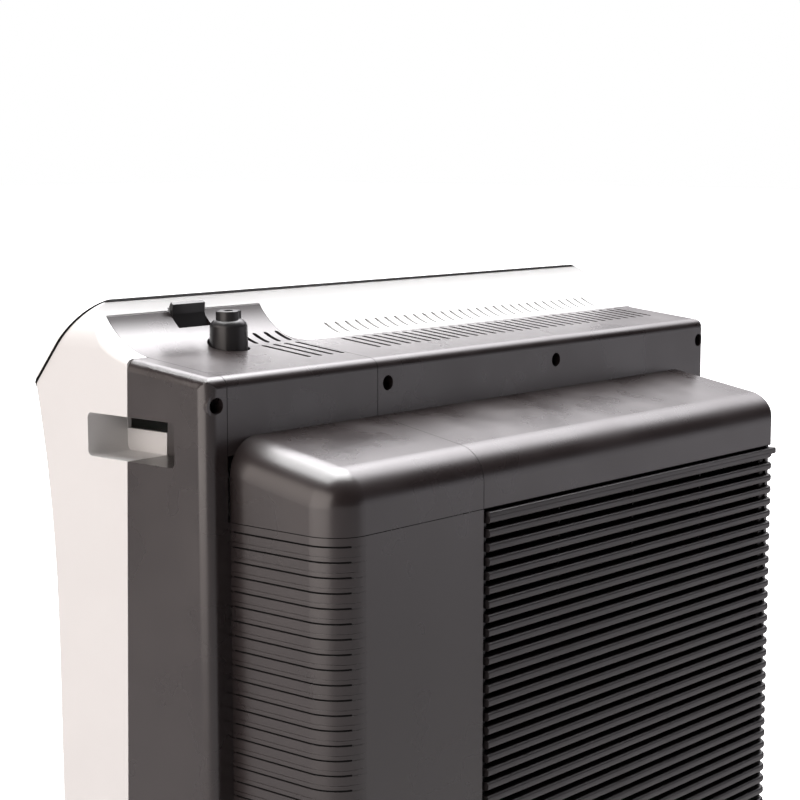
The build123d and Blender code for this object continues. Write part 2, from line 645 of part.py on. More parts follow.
def box_cap(inset):
    """Top of the rear box: sloped, with a round near corner and round top edges."""
    x0, x1 = BOX_X0 + inset, BOX_X1 - inset
    y1 = Y_BOX - inset
    corner = BOX_CORNER_R - inset
    edge = BOX_EDGE_R - inset
    y0 = Y_WALL - (20 if inset else 0)
    z0 = CAP_Z - (20 if inset else 0)
    body = along_z(rounded_rect(x0, x1, y0, y1, (0, 0, corner, 0)), z0, HEIGHT)
    slope = math.tan(math.radians(BOX_TOP_SLOPE))
    top = from_crest(BOX_TOP_DROP) - inset
    above = polygon((Y_WALL - 40, top + 40 * slope), (Y_BOX + 20, top - (BOX_REACH + 20) * slope),
                    (Y_BOX + 20, HEIGHT + 60), (Y_WALL - 40, HEIGHT + 60))
    body -= along_x(above, BOX_X0 - 10, BOX_X1 + 10)
    top_face = body.faces().sort_by(Axis.Z)[-1]
    rounded = [e for e in top_face.edges() if e.center().Y > y0 + 1 and e.center().X > x0 + 8]
    body = fillet(rounded, edge)
    far_r = max(BOX_FAR_R - inset, 0.5)
    return body & along_z(rounded_rect(x0, x1 + 5, y0 - 5, y1, (0, 0, 0, far_r)), z0 - 1, HEIGHT)


def cap_shell():
    return box_cap(0) - box_cap(WALL)


def make_rear_cap_corner():
    return cap_shell() & inside_seams(0, SEAM_B - SEAM / 2)


def make_rear_cap_main():
    return cap_shell() & inside_seams(SEAM_B + SEAM / 2, WIDTH)


def box_plan(inset):
    corner = BOX_CORNER_R - inset
    far_r = max(BOX_FAR_R - inset, 0.5)
    return rounded_rect(BOX_X0 + inset, BOX_X1 - inset, Y_WALL - (5 if inset else 0), Y_BOX - inset,
                        (0, 0, corner, far_r))


def box_wall(z0, z1):
    return along_z(box_plan(0), z0, z1) - along_z(box_plan(WALL), z0 - 1, z1 + 1)


def make_ribbed_panel():
    """Panel that wraps the near corner of the box, with level grooves at the louvre's pitch."""
    z0, z1 = LOWER_COVER_TOP, CAP_Z - SEAM
    panel = box_wall(z0, z1) & inside_seams(0, SEAM_B)
    first = from_crest(RIB_FIRST_DROP)
    count = int((first - z0) // SLAT_PITCH)
    grooves = []
    for i in range(count):
        z = first - i * SLAT_PITCH
        grooves.append(groove(z, RIB_DEPTH, RIB_W))
        if i:
            grooves.append(groove(z + RIB_FINE_RISE, RIB_FINE_DEPTH, RIB_FINE_W))
    return panel - grooves


def groove(z, depth, width):
    """A level groove in the side face that runs out round the near corner of the box."""
    crescent = box_plan(0) - Pos(-depth, 0) * box_plan(0)
    return along_z(crescent & Pos(BOX_X1, 0) * Rectangle(2 * BOX_CORNER_R + 2, 400), z - width / 2, z + width / 2)


def make_louvre_panel():
    """Lift-off rear grille: a frame whose slats run past it on the far side."""
    x_near = from_side(SEAM_B + LOUVRE_GAP)
    x_frame = BOX_X0 + WALL + TOUCH
    x_far = BOX_X0 - SLAT_PROUD
    y_out = Y_BOX + SLAT_PROUD
    y_frame = Y_BOX - WALL + TOUCH
    z0, z1 = LOWER_COVER_TOP + SEAM, LOUVRE_TOP
    frame = block(x_frame, x_near, y_out - SLAT_DEPTH, y_frame, z0, z1)
    frame -= block(x_frame + 5, x_near - 5, y_out - SLAT_DEPTH - 1, y_frame + 1, z0 + 5, z1 - 3)
    slat = Pos(y_out - SLAT_H / 2, 0) * Circle(SLAT_H / 2)
    slat += polygon((y_out - SLAT_DEPTH, -SLAT_H / 2 + 1.2), (y_out - SLAT_H / 2, -SLAT_H / 2),
                    (y_out - SLAT_H / 2, SLAT_H / 2), (y_out - SLAT_DEPTH, SLAT_H / 2 - 0.6))
    rows = []
    for i in range(SLAT_COUNT - 1):
        z = z1 - SLAT_PITCH / 2 - i * SLAT_PITCH
        row = Pos(0, z) * slat
        inner = along_x(row, x_frame + 1, x_near)
        wrap = along_x(row, x_far, x_frame + 2) & block(x_far - 1, x_near, y_frame, y_out + 1, 0, HEIGHT)
        rows += [inner, wrap]
    spine = [block(x, x + 3.0, y_out - SLAT_DEPTH, y_out - SLAT_DEPTH + 3, z0 + 4, z1 - 2)
             for x in (x_frame + (x_near - x_frame) * k / 4 for k in (1, 2, 3))]
    return frame + rows + spine


FOAM_T = 9.0


def make_intake_foam():
    """Coarse dust filter laid behind the louvre."""
    y1 = Y_BOX + SLAT_PROUD - SLAT_DEPTH - TOUCH
    return block(BOX_X0 + WALL + 2, from_side(SEAM_B + LOUVRE_GAP), y1 - FOAM_T, y1,
                 LOWER_COVER_TOP + 4, LOUVRE_TOP - 4)


# ---------------------------------------------------------------- lower rear cover and mains
INLET_X, MAINS_Z = 150.0, 92.0
INLET_HALF_X, INLET_HALF_Z = 13.5, 10.0
INLET_FLANGE_X, INLET_FLANGE_Z = 25.0, 13.5
INLET_MOUTH_X, INLET_MOUTH_Z = 12.0, 8.2
CONTACTS = ((-7, -2), (0, 2), (7, -2))     # contact pins, from the middle of the inlet
CONTACT_X, CONTACT_Z = 1.0, 2.0
SWITCH_X = 111.0
SWITCH_HALF_X, SWITCH_HALF_Z = 9.5, 14.0
SWITCH_FLANGE = 2.0
SWITCH_MOUTH_X, SWITCH_MOUTH_Z = 7.5, 12.4
MAINS_BODY = 26.0                          # how far the inlet and the switch reach in
BREAKER_X = 186.5
BREAKER_R = 6.0
BREAKER_FLANGE = 2.5
BREAKER_BUTTON_R = 2.8
MAINS_FLANGE = 1.8


def mains_block(x, half_x, half_z, y0, y1, rise=0):
    """A block of the mains group, by its half width and half height round (x, MAINS_Z + rise)."""
    z = MAINS_Z + rise
    return block(x - half_x, x + half_x, y0, y1, z - half_z, z + half_z)


def make_lower_rear_cover():
    """Cover under the louvre, with the mains group's openings."""
    cover = box_wall(SHELL_Z, LOWER_COVER_TOP)
    cover -= mains_block(INLET_X, INLET_HALF_X + TOUCH, INLET_HALF_Z + TOUCH, Y_BOX - 10, Y_BOX + 5)
    cover -= mains_block(SWITCH_X, SWITCH_HALF_X + TOUCH, SWITCH_HALF_Z + TOUCH, Y_BOX - 10, Y_BOX + 5)
    cover -= rod_y(BREAKER_R + TOUCH, Y_BOX - 10, Y_BOX + 5, BREAKER_X, MAINS_Z)
    return cover


def make_power_inlet():
    """Mains socket: flange outside, hollow body inside, three contact pins."""
    inlet = mains_block(INLET_X, INLET_FLANGE_X, INLET_FLANGE_Z, Y_BOX, Y_BOX + MAINS_FLANGE)
    inlet += mains_block(INLET_X, INLET_HALF_X, INLET_HALF_Z, Y_BOX - MAINS_BODY, Y_BOX + 1)
    inlet -= mains_block(INLET_X, INLET_MOUTH_X, INLET_MOUTH_Z, Y_BOX - 16, Y_BOX + 5)
    for dx, dz in CONTACTS:
        inlet += mains_block(INLET_X + dx, CONTACT_X, CONTACT_Z, Y_BOX - 17, Y_BOX - 2, dz)
    return inlet


ROCKER_TILT = 9.0
ROCKER_PIN_R = 1.5
ROCKER_PIN_FIT = 0.05
ROCKER_Y = Y_BOX - 9.0


def make_switch_housing():
    """Frame of the mains switch; the rocker turns on a pin across it."""
    housing = mains_block(SWITCH_X, SWITCH_HALF_X + SWITCH_FLANGE, SWITCH_HALF_Z + SWITCH_FLANGE,
                          Y_BOX, Y_BOX + MAINS_FLANGE)
    housing += mains_block(SWITCH_X, SWITCH_HALF_X, SWITCH_HALF_Z, Y_BOX - MAINS_BODY, Y_BOX + 1)
    housing -= mains_block(SWITCH_X, SWITCH_MOUTH_X, SWITCH_MOUTH_Z, Y_BOX - 20, Y_BOX + 5)
    return housing - make_rocker_pin()


def make_rocker_switch():
    """Two-way rocker, stored switched off: its lower half stands out."""
    outline = polygon((-10.6, 8.2), (0, 6.4), (10.6, 8.2), (10.0, -1.0), (0, -5.0), (-10.0, -1.0))
    tilted = Pos(ROCKER_Y, MAINS_Z) * Rot(0, 0, -90 + ROCKER_TILT) * outline
    half = SWITCH_MOUTH_X - TOUCH
    rocker = along_x(tilted, SWITCH_X - half, SWITCH_X + half)
    return rocker - rod_x(ROCKER_PIN_R + ROCKER_PIN_FIT, SWITCH_X - 8, SWITCH_X + 8, ROCKER_Y, MAINS_Z)


def make_rocker_pin():
    reach = SWITCH_HALF_X - 0.5
    return rod_x(ROCKER_PIN_R, SWITCH_X - reach, SWITCH_X + reach, ROCKER_Y, MAINS_Z)


def make_circuit_breaker():
    """Push-to-reset breaker beside the inlet."""
    breaker = rod_y(BREAKER_R + BREAKER_FLANGE, Y_BOX, Y_BOX + MAINS_FLANGE, BREAKER_X, MAINS_Z)
    breaker += rod_y(BREAKER_R, Y_BOX - 24, Y_BOX + 1, BREAKER_X, MAINS_Z)
    return breaker - rod_y(BREAKER_BUTTON_R + 0.4, Y_BOX - 3, Y_BOX + 5, BREAKER_X, MAINS_Z) \
        + rod_y(BREAKER_BUTTON_R, Y_BOX - 3.5, Y_BOX + 1.4, BREAKER_X, MAINS_Z)


# ---------------------------------------------------------------- knob and flow valve
KNOB_TURN = 35.0               # the grip's direction at rest
KNOB_TAPER = 0.3               # the skirt draws in by this much up to the shoulder
KNOB_DOME_R = 4.5              # where the shoulder's dome has flattened out
KNOB_DOME_H = 4.2
GRIP_WAIST_R = 8.0             # the two hollows in the finger grip's sides
GRIP_WAIST_OFFSET = 13.2
STEM_BASE_DROP = 56.0
VALVE_TOP_DROP = 33.0
VALVE_H = 34.0
VALVE_R = 15.0
VALVE_PORT_R = 4.0
VALVE_PORT_LEN = 10.0


def make_flow_knob():
    """Round knob with a domed shoulder and a waisted finger grip; bored for the stem."""
    x, y = knob_xy()
    base, shoulder, top = from_crest(KNOB_BASE_DROP), from_crest(KNOB_SHOULDER_DROP), from_crest(KNOB_TOP_DROP)
    dome = shoulder + KNOB_DOME_H
    profile = make_face([
        Line((0, base), (KNOB_R, base)),
        Line((KNOB_R, base), (KNOB_R - KNOB_TAPER, shoulder)),
        ThreePointArc((KNOB_R - KNOB_TAPER, shoulder), (KNOB_R - 2.2, shoulder + 3.0), (KNOB_DOME_R, dome)),
        Line((KNOB_DOME_R, dome), (0, dome)),
        Line((0, dome), (0, base)),
    ])
    knob = Pos(x, y) * revolve(Plane.XZ * profile, Axis.Z)
    waist = SlotOverall(GRIP_TAB_LEN, GRIP_TAB_W)
    for offset in (GRIP_WAIST_OFFSET, -GRIP_WAIST_OFFSET):
        waist -= Pos(0, offset) * Circle(GRIP_WAIST_R)
    grip = along_z(Pos(x, y) * Rot(0, 0, KNOB_TURN) * waist, shoulder, top)
    grip = fillet(grip.faces().sort_by(Axis.Z)[-1].edges(), 0.7)
    knob += grip
    knob -= along_z(Pos(x, y) * Rot(0, 0, KNOB_TURN) * SlotOverall(9.0, 4.6), top - 1.2, top + 1)
    return knob - rod_z(STEM_R, base - 1, shoulder - 2, x, y)


def make_valve_stem():
    """Steel stem: pressed into the knob, free to turn in the valve body."""
    x, y = knob_xy()
    return rod_z(STEM_R, from_crest(STEM_BASE_DROP), from_crest(KNOB_SHOULDER_DROP) - 2, x, y)


def make_flow_valve_body():
    """Valve body under the knob, held by the bulkhead; its port takes the product hose."""
    x, y = knob_xy()
    top = from_crest(VALVE_TOP_DROP)
    body = rod_z(VALVE_R, top - VALVE_H, top - 4, x, y) + rod_z(8.0, top - 5, top, x, y)
    body += block(x - 10, x + 10, y, BULKHEAD_Y0, top - VALVE_H, top - VALVE_H + 12)
    body += rod_y(VALVE_PORT_R, y - VALVE_R - VALVE_PORT_LEN, y, x, top - VALVE_H + 10)
    return body - rod_z(STEM_R + STEM_FIT, from_crest(STEM_BASE_DROP) - 0.3, top + 1, x, y)


# ---------------------------------------------------------------- oxygen outlet
FILTER_R = 16.0
FILTER_LEN = 26.0


def make_oxygen_outlet():
    """Barbed outlet in the front cup, screwed through its floor."""
    z = from_crest(OUTLET_DROP)
    floor = front_face_y() + OUTLET_CUP_DEPTH
    outlet = rod_y(OUTLET_FLANGE_R, floor - OUTLET_FLANGE_T, floor, OUTLET_X, z)
    outlet += rod_y(BARB_R, floor - OUTLET_FLANGE_T - BARB_LEN, floor, OUTLET_X, z)
    outlet += rod_y(BARB_R, floor - 1, floor + GRIP_WALL + 2, OUTLET_X, z)
    return outlet - rod_y(BARB_BORE_R, floor - 2 * BARB_LEN, floor + BARB_LEN, OUTLET_X, z)


def make_bacteria_filter():
    z = from_crest(OUTLET_DROP)
    y0 = front_face_y() + OUTLET_CUP_DEPTH + GRIP_WALL + 2
    body = rod_y(FILTER_R, y0, y0 + FILTER_LEN, OUTLET_X, z)
    return body + rod_y(4.5, y0 + FILTER_LEN - 1, y0 + FILTER_LEN + 10, OUTLET_X, z)


# ---------------------------------------------------------------- base, feet and chassis
def plan_outline(inset):
    housing = rounded_rect(-X_SIDE + inset, X_SIDE - inset, FRONT_Y + inset, Y_WALL - inset, (5, 5, 5, 5))
    return housing + rounded_rect(BOX_X0 + inset, BOX_X1 - inset, Y_WALL - 20, Y_BOX - inset,
                                  (0, 0, BOX_CORNER_R - inset, BOX_FAR_R))


def foot_places():
    xs = (-X_SIDE + FOOT_INSET, X_SIDE - FOOT_INSET - BOX_LEFT)
    return [(x, y) for x in xs for y in (FRONT_Y + FOOT_INSET - 8, Y_BOX - FOOT_INSET)]


def make_base_plate():
    plate = along_z(plan_outline(0.5), FOOT_H, SHELL_Z)
    holes = [rod_z(SCREW_R + 0.4, FOOT_H - 1, SHELL_Z + 1, x, y) for x, y in foot_places()]
    vents = [block(x - 2, x + 2, Y_WALL - 6, Y_WALL + 46, FOOT_H - 1, SHELL_Z + 1)
             for x in (-60 + 12 * i for i in range(9))]
    return plate - holes - vents


def make_rubber_feet():
    feet = []
    for x, y in foot_places():
        foot = Pos(x, y, FOOT_H / 2) * Cone(FOOT_R - 2, FOOT_R, FOOT_H)
        feet.append(foot - rod_z(4.0, -1, FOOT_H - 4, x, y) - rod_z(SCREW_R + 0.1, 0, FOOT_H + 1, x, y))
    return Compound(children=feet)


def make_foot_screws():
    screws = []
    for x, y in foot_places():
        screws.append(rod_z(3.2, FOOT_H - 6.4, FOOT_H - 4, x, y) + rod_z(SCREW_R, FOOT_H - 5, SHELL_Z - 0.3, x, y))
    return Compound(children=screws)


def all_wells():
    places = [(side, WELL_DROP) for side in WELL_SIDES]
    return places + [(side, drop) for side in (WELL_SIDES[0], WELL_SIDES[3])
                     for drop in (MID_WELL_DROP, LOW_WELL_DROP)]


def make_cover_screws():
    screws = []
    for side, drop in all_wells():
        x, z = from_side(side), from_crest(drop)
        seat = Y_WALL - WELL_DEPTH
        screw = rod_y(SCREW_HEAD_R, seat, seat + SCREW_HEAD_H, x, z) + rod_y(SCREW_R, BULKHEAD_Y0 - 4, seat + 1, x, z)
        cross = block(x - 0.5, x + 0.5, seat + 1.2, seat + 5, z - 2.2, z + 2.2) \
            + block(x - 2.2, x + 2.2, seat + 1.2, seat + 5, z - 0.5, z + 0.5)
        screws.append(screw - cross)
    return Compound(children=screws)


def make_bulkhead():
    """Upright chassis plate: carries the covers' screws, the fan, the boards and the supply."""
    top = from_crest(LEDGE_DROP + 12)
    plate = block(-X_SIDE + WALL + 1, X_SIDE - WALL - 1, BULKHEAD_Y0, BULKHEAD_Y1, SHELL_Z, top)
    plate -= rod_y(FAN_SIZE / 2 - 6, BULKHEAD_Y0 - 1, BULKHEAD_Y1 + 1, 0, FAN_Z)
    plate -= block(-120, 90, BULKHEAD_Y0 - 1, BULKHEAD_Y1 + 1, SHELL_Z + 6, 34)
    plate -= block(100, 190, BULKHEAD_Y0 - 1, BULKHEAD_Y1 + 1, 440, 470)
    for side, drop in all_wells():
        plate -= rod_y(SCREW_R + SCREW_FIT, BULKHEAD_Y0 - 1, BULKHEAD_Y1 + 1, from_side(side), from_crest(drop))
    return plate


# ---------------------------------------------------------------- compressor
MOTOR_Y = Y_WALL - MOTOR_DEPTH
TRAY_Z = 44.0
TRAY_T = 4.0
MOTOR_X0, MOTOR_X1 = -60.0, 40.0
CRANK_LEN = 40.0
SHAFT_R = 7.0
CYLINDER_R = 24.0
CYLINDER_H = 46.0
SLEEVE_T = 3.0
FIN_COUNT, FIN_PITCH, FIN_T, FIN_REACH = 5, 8.0, 2.0, 5.0
STATOR_BORE_R = 22.0
ROTOR_R = 21.0
THROW_R = 15.0
THROW_OFFSET = 6.0
COMPRESSOR_FAN_HUB_R = 13.0
HEAD_H = 18.0
SPRING_R = 8.0
NECK_Z = MOTOR_Z + MOTOR_R + 10


def crank_centres():
    return (MOTOR_X0 - CRANK_LEN / 2, MOTOR_X1 + CRANK_LEN / 2)


def make_compressor_tray():
    return block(MOTOR_X0 - 60, MOTOR_X1 + 60, MOTOR_Y - 38, MOTOR_Y + 38, TRAY_Z, TRAY_Z + TRAY_T)


def make_isolation_mounts():
    """Rubber mounts between the base plate and the compressor's tray."""
    mounts = []
    for x in (MOTOR_X0 - 48, MOTOR_X1 + 48):
        for y in (MOTOR_Y - 28, MOTOR_Y + 28):
            mount = rod_z(SPRING_R, SHELL_Z, TRAY_Z, x, y)
            for z in (SHELL_Z + 7, SHELL_Z + 14, SHELL_Z + 21):
                mount -= Pos(x, y, z) * Torus(SPRING_R, 1.8)
            mounts.append(mount)
    return Compound(children=mounts)


def make_compressor_crankcase():
    """Two crank chambers with the motor's carrier between them, standing on the tray."""
    chamber_r = MOTOR_R + 5
    case = rod_x(MOTOR_R + 3, MOTOR_X0 - 1, MOTOR_X1 + 1, MOTOR_Y, MOTOR_Z)
    for x in crank_centres():
        x0, x1 = x - CRANK_LEN / 2, x + CRANK_LEN / 2
        case += rod_x(chamber_r, x0, x1, MOTOR_Y, MOTOR_Z)
        case += block(x0 + 2, x1 - 2, MOTOR_Y - 34, MOTOR_Y + 34, TRAY_Z + TRAY_T, MOTOR_Z - 20)
        case += rod_z(CYLINDER_R - 5, MOTOR_Z, NECK_Z, x, MOTOR_Y)
    case -= rod_x(MOTOR_R, MOTOR_X0, MOTOR_X1, MOTOR_Y, MOTOR_Z)
    for x in crank_centres():
        x0, x1 = x - CRANK_LEN / 2, x + CRANK_LEN / 2
        case -= rod_x(MOTOR_R - 6, x0 + 4, x1 - 4, MOTOR_Y, MOTOR_Z)
        case -= rod_z(CYLINDER_R - 10, MOTOR_Z, NECK_Z + 1, x, MOTOR_Y)
    return case - rod_x(SHAFT_R + 0.08, MOTOR_X0 - 60, MOTOR_X1 + 60, MOTOR_Y, MOTOR_Z)


def make_cylinder_sleeves():
    """Finned sleeves on the crankcase's necks."""
    z0 = NECK_Z
    sleeves = []
    for x in crank_centres():
        sleeve = rod_z(CYLINDER_R, z0, z0 + CYLINDER_H, x, MOTOR_Y)
        for i in range(FIN_COUNT):
            z = z0 + 5 + FIN_PITCH * i
            sleeve += rod_z(CYLINDER_R + FIN_REACH, z, z + FIN_T, x, MOTOR_Y)
        sleeves.append(sleeve - rod_z(CYLINDER_R - SLEEVE_T, z0 - 1, z0 + CYLINDER_H + 1, x, MOTOR_Y))
    return Compound(children=sleeves)


def make_pistons():
    """Piston and rod in each cylinder, at mid stroke; the rod's big end stays clear of the crank."""
    z0 = NECK_Z
    pistons = []
    for x in crank_centres():
        piston = rod_z(CYLINDER_R - SLEEVE_T, z0 + 14, z0 + 26, x, MOTOR_Y)
        rod = block(x - 3, x + 3, MOTOR_Y - 6, MOTOR_Y + 6, MOTOR_Z + 26, z0 + 15)
        pistons.append(piston + rod)
    return Compound(children=pistons)


def make_cylinder_heads():
    z0 = NECK_Z + CYLINDER_H
    heads = []
    for x in crank_centres():
        head = along_z(Pos(x, MOTOR_Y) * RectangleRounded(58, 58, 6), z0, z0 + HEAD_H)
        for i in range(4):
            head -= block(x - 30, x + 30, MOTOR_Y - 20 + 12 * i, MOTOR_Y - 16 + 12 * i, z0 + HEAD_H - 6, z0 + HEAD_H + 1)
        heads.append(head)
    return Compound(children=heads)


def make_motor_stator():
    return rod_x(MOTOR_R, MOTOR_X0 + 12, MOTOR_X1 - 12, MOTOR_Y, MOTOR_Z) \
        - rod_x(STATOR_BORE_R, MOTOR_X0, MOTOR_X1, MOTOR_Y, MOTOR_Z)


def make_crankshaft():
    """Shaft with the motor's rotor and a throw disc in each crank chamber."""
    x0 = MOTOR_X0 - CRANK_LEN - 6
    x1 = MOTOR_X1 + CRANK_LEN + 18
    shaft = rod_x(SHAFT_R, x0, x1, MOTOR_Y, MOTOR_Z)
    shaft += rod_x(ROTOR_R, MOTOR_X0 + 14, MOTOR_X1 - 14, MOTOR_Y, MOTOR_Z)
    for x in crank_centres():
        shaft += rod_x(THROW_R, x - 8, x + 8, MOTOR_Y, MOTOR_Z + THROW_OFFSET)
    return shaft


def make_compressor_fan():
    """Cooling fan on the crankshaft's end."""
    x0 = MOTOR_X1 + CRANK_LEN + 6
    fan = rod_x(COMPRESSOR_FAN_HUB_R, x0, x0 + 10, MOTOR_Y, MOTOR_Z) - rod_x(SHAFT_R, x0 - 1, x0 + 11, MOTOR_Y, MOTOR_Z)
    blade = Pos(x0 + 5, 0, 22) * Rot(0, 0, 32) * Box(1.6, 12, 22)
    for i in range(6):
        fan += Pos(0, MOTOR_Y, MOTOR_Z) * Rot(60 * i, 0, 0) * blade
    return fan


# ---------------------------------------------------------------- cabinet fan
FAN_BEARING_R = 19.0
FAN_HUB_R = 18.0
FAN_SHAFT_R = 2.0
FAN_BLADES = 7


def make_fan_frame():
    """Square frame on the bulkhead, with four arms to the bearing."""
    y0, y1 = BULKHEAD_Y1, BULKHEAD_Y1 + FAN_T
    frame = along_y(Pos(0, FAN_Z) * RectangleRounded(FAN_SIZE, FAN_SIZE, 5), y0, y1)
    frame -= rod_y(FAN_SIZE / 2 - 2.5, y0 - 1, y1 + 1, 0, FAN_Z)
    frame += rod_y(FAN_BEARING_R, y0, y0 + 3, 0, FAN_Z)
    for turn in (45, 135, 225, 315):
        arm = Pos(0, (y0 + y0 + 3) / 2, FAN_Z) * Rot(0, turn, 0) * Pos(FAN_SIZE / 4 + 2, 0, 0) * Box(FAN_SIZE / 2 - 8, 3, 5)
        frame += arm
    frame -= rod_y(FAN_SHAFT_R + 0.05, y0 - 1, y0 + 4, 0, FAN_Z)
    return frame


def make_fan_rotor():
    y0, y1 = BULKHEAD_Y1 + 3.5, BULKHEAD_Y1 + FAN_T - 2
    rotor = rod_y(FAN_HUB_R, y0, y1, 0, FAN_Z) + rod_y(FAN_SHAFT_R, BULKHEAD_Y1, y0 + 1, 0, FAN_Z)
    blade = Pos(FAN_SIZE / 4 + 6, (y0 + y1) / 2, 0) * Rot(38, 0, 0) * Box(FAN_SIZE / 2 - 22, 1.8, 28)
    for i in range(FAN_BLADES):
        rotor += Pos(0, 0, FAN_Z) * Rot(0, 360 / FAN_BLADES * i, 0) * blade
    return rotor


# ---------------------------------------------------------------- gas circuit
def bed_xy(side):
    return from_side(side), from_wall(BED_DEPTH)


def make_sieve_bed(side):
    x, y = bed_xy(side)
    return rod_z(BED_R, SHELL_Z + BED_CAP_H, SHELL_Z + BED_CAP_H + BED_H, x, y)


def make_bed_end_caps():
    caps = []
    for side in BED_SIDES:
        x, y = bed_xy(side)
        for z in (SHELL_Z, SHELL_Z + BED_CAP_H + BED_H):
            caps.append(rod_z(BED_CAP_R, z, z + BED_CAP_H, x, y))
    return Compound(children=caps)


MANIFOLD_Z = SHELL_Z + 2 * BED_CAP_H + BED_H
MANIFOLD_H = 26.0
MANIFOLD_HALF_Y = 20.0
COIL_BLOCK_H = 28.0
COIL_COUNT = 4
PORT_R = 5.0


def make_valve_manifold():
    """Block across the two beds' heads; its valves swap the beds."""
    x0, x1 = from_side(BED_SIDES[0]) - 30, from_side(BED_SIDES[1]) + 30
    y = from_wall(BED_DEPTH)
    body = block(x0, x1, y - MANIFOLD_HALF_Y, y + MANIFOLD_HALF_Y, MANIFOLD_Z, MANIFOLD_Z + MANIFOLD_H)
    return body + rod_x(PORT_R, x1 - 1, x1 + 12, y, MANIFOLD_Z + MANIFOLD_H / 2)


def make_valve_solenoids():
    x0, x1 = from_side(BED_SIDES[0]) - 12, from_side(BED_SIDES[1]) + 12
    y = from_wall(BED_DEPTH)
    coils = []
    low = MANIFOLD_Z + MANIFOLD_H
    high = low + COIL_BLOCK_H
    for i in range(COIL_COUNT):
        x = x0 + (x1 - x0) * i / (COIL_COUNT - 1)
        coil = block(x - 11, x + 11, y - 14, y + 14, low, high)
        coils.append(coil + rod_z(PORT_R, high - 1, high + 8, x, y))
    return Compound(children=coils)


TANK_X = 172.0
MUFFLER_X, MUFFLER_DEPTH = -168.0, -29.0
MUFFLER_R, MUFFLER_H = 22.0, 150.0
SILENCER_X, SILENCER_DEPTH = 62.0, 68.0
SILENCER_R, SILENCER_H = 32.0, 110.0
NECK_H = 13.0                  # hose necks on top of the vessels


def vessel(radius, height, neck_radius, x, depth):
    """A closed can standing on the base plate, with a hose neck on top."""
    y, top = from_wall(depth), SHELL_Z + height
    return rod_z(radius, SHELL_Z, top, x, y) + rod_z(neck_radius, top - 1, top + NECK_H - 1, x, y)


def make_product_tank():
    tank = vessel(TANK_R, TANK_H, PORT_R, TANK_X, BED_DEPTH)
    rim = [e for e in tank.edges().filter_by(GeomType.CIRCLE)
           if abs(e.radius - TANK_R) < 0.01 and e.center().Z > SHELL_Z + 1]
    return fillet(rim, 10)


def make_exhaust_muffler():
    return vessel(MUFFLER_R, MUFFLER_H, PORT_R, MUFFLER_X, MUFFLER_DEPTH)


def make_intake_silencer():
    """Fine intake filter and silencer, standing on the base beside the beds."""
    return vessel(SILENCER_R, SILENCER_H, 6.0, SILENCER_X, SILENCER_DEPTH)


SUPPLY_X, SUPPLY_Z, SUPPLY_T = (20.0, 100.0), (180.0, 320.0), 48.0
SUPPLY_SLOTS, SUPPLY_SLOT_PITCH, SUPPLY_SLOT_H = 8, 14.0, 5.0
BOARD_X, BOARD_Z, BOARD_T, BOARD_GAP = (10.0, 130.0), (345.0, 435.0), 1.6, 8.0
BOARD_PARTS = (                # x, z, width, height, thickness of the larger components
    (40, 370, 24, 18, 12), (85, 368, 14, 14, 22), (60, 405, 30, 12, 6), (108, 400, 12, 26, 9),
)


def make_power_supply():
    """Supply in a folded box, on the bulkhead's front face."""
    y = BULKHEAD_Y0 - SUPPLY_T
    box = block(*SUPPLY_X, y, BULKHEAD_Y0, *SUPPLY_Z)
    for i in range(SUPPLY_SLOTS):
        z = SUPPLY_Z[0] + 15 + SUPPLY_SLOT_PITCH * i
        box -= block(SUPPLY_X[0] + 10, SUPPLY_X[1] - 10, y - 1, y + 1, z, z + SUPPLY_SLOT_H)
    return box


def make_control_board():
    """Main circuit board with its larger components, on four pillars."""
    y = BULKHEAD_Y0 - BOARD_GAP
    board = block(*BOARD_X, y - BOARD_T, y, *BOARD_Z)
    for x in (BOARD_X[0] + 8, BOARD_X[1] - 8):
        for z in (BOARD_Z[0] + 8, BOARD_Z[1] - 8):
            board += rod_y(3.0, y - 1, BULKHEAD_Y0, x, z)
    for x, z, width, height, thick in BOARD_PARTS:
        board += block(x - width / 2, x + width / 2, y - BOARD_T - thick, y - 1, z - height / 2, z + height / 2)
    return board


COIL_ROWS = 6
COIL_STEP = 20.0
COIL_HALF = 46.0
COIL_R = 4.0


def make_cooling_coil():
    """Serpentine cooler for the compressed air, in two fin plates on the cabinet fan's frame."""
    y = BULKHEAD_Y1 + FAN_T + 6.0
    low = FAN_Z - COIL_STEP * (COIL_ROWS - 1) / 2
    coil = Part()
    for x in (-28.0, 28.0):
        coil += block(x - 1, x + 1, y - 6, y + 6, low - 7, low + COIL_STEP * (COIL_ROWS - 1) + 7)
    for i in range(COIL_ROWS):
        coil += rod_x(COIL_R, -COIL_HALF, COIL_HALF, y, low + COIL_STEP * i)
    for i in range(COIL_ROWS - 1):
        side = 1 if i % 2 == 0 else -1
        ring = Pos(side * COIL_HALF, y, low + COIL_STEP * (i + 0.5)) * Rot(90, 0, 0) * Torus(COIL_STEP / 2, COIL_R)
        beyond = block(*sorted((side * COIL_HALF, side * (COIL_HALF + 20))), y - 10, y + 10, 0, HEIGHT)
        coil += ring & beyond
    return coil


def make_product_hose():
    """From the product tank up to the flow valve."""
    x, y = knob_xy()
    z = from_crest(VALVE_TOP_DROP) - VALVE_H + 10
    y_tank = from_wall(BED_DEPTH)
    y_front = y - VALVE_R - 26
    top = SHELL_Z + TANK_H + 12
    points = [(TANK_X, y_tank, top), (TANK_X, y_tank, top + 24), (TANK_X + 32, y_tank, top + 64),
              (TANK_X + 32, y_tank, 505), (x, y_front + 6, 535), (x, y_front, z), (x, y - VALVE_R - 10, z)]
    return tube(points, 5.0, 3.0, (20, 25, 20, 8, 8))


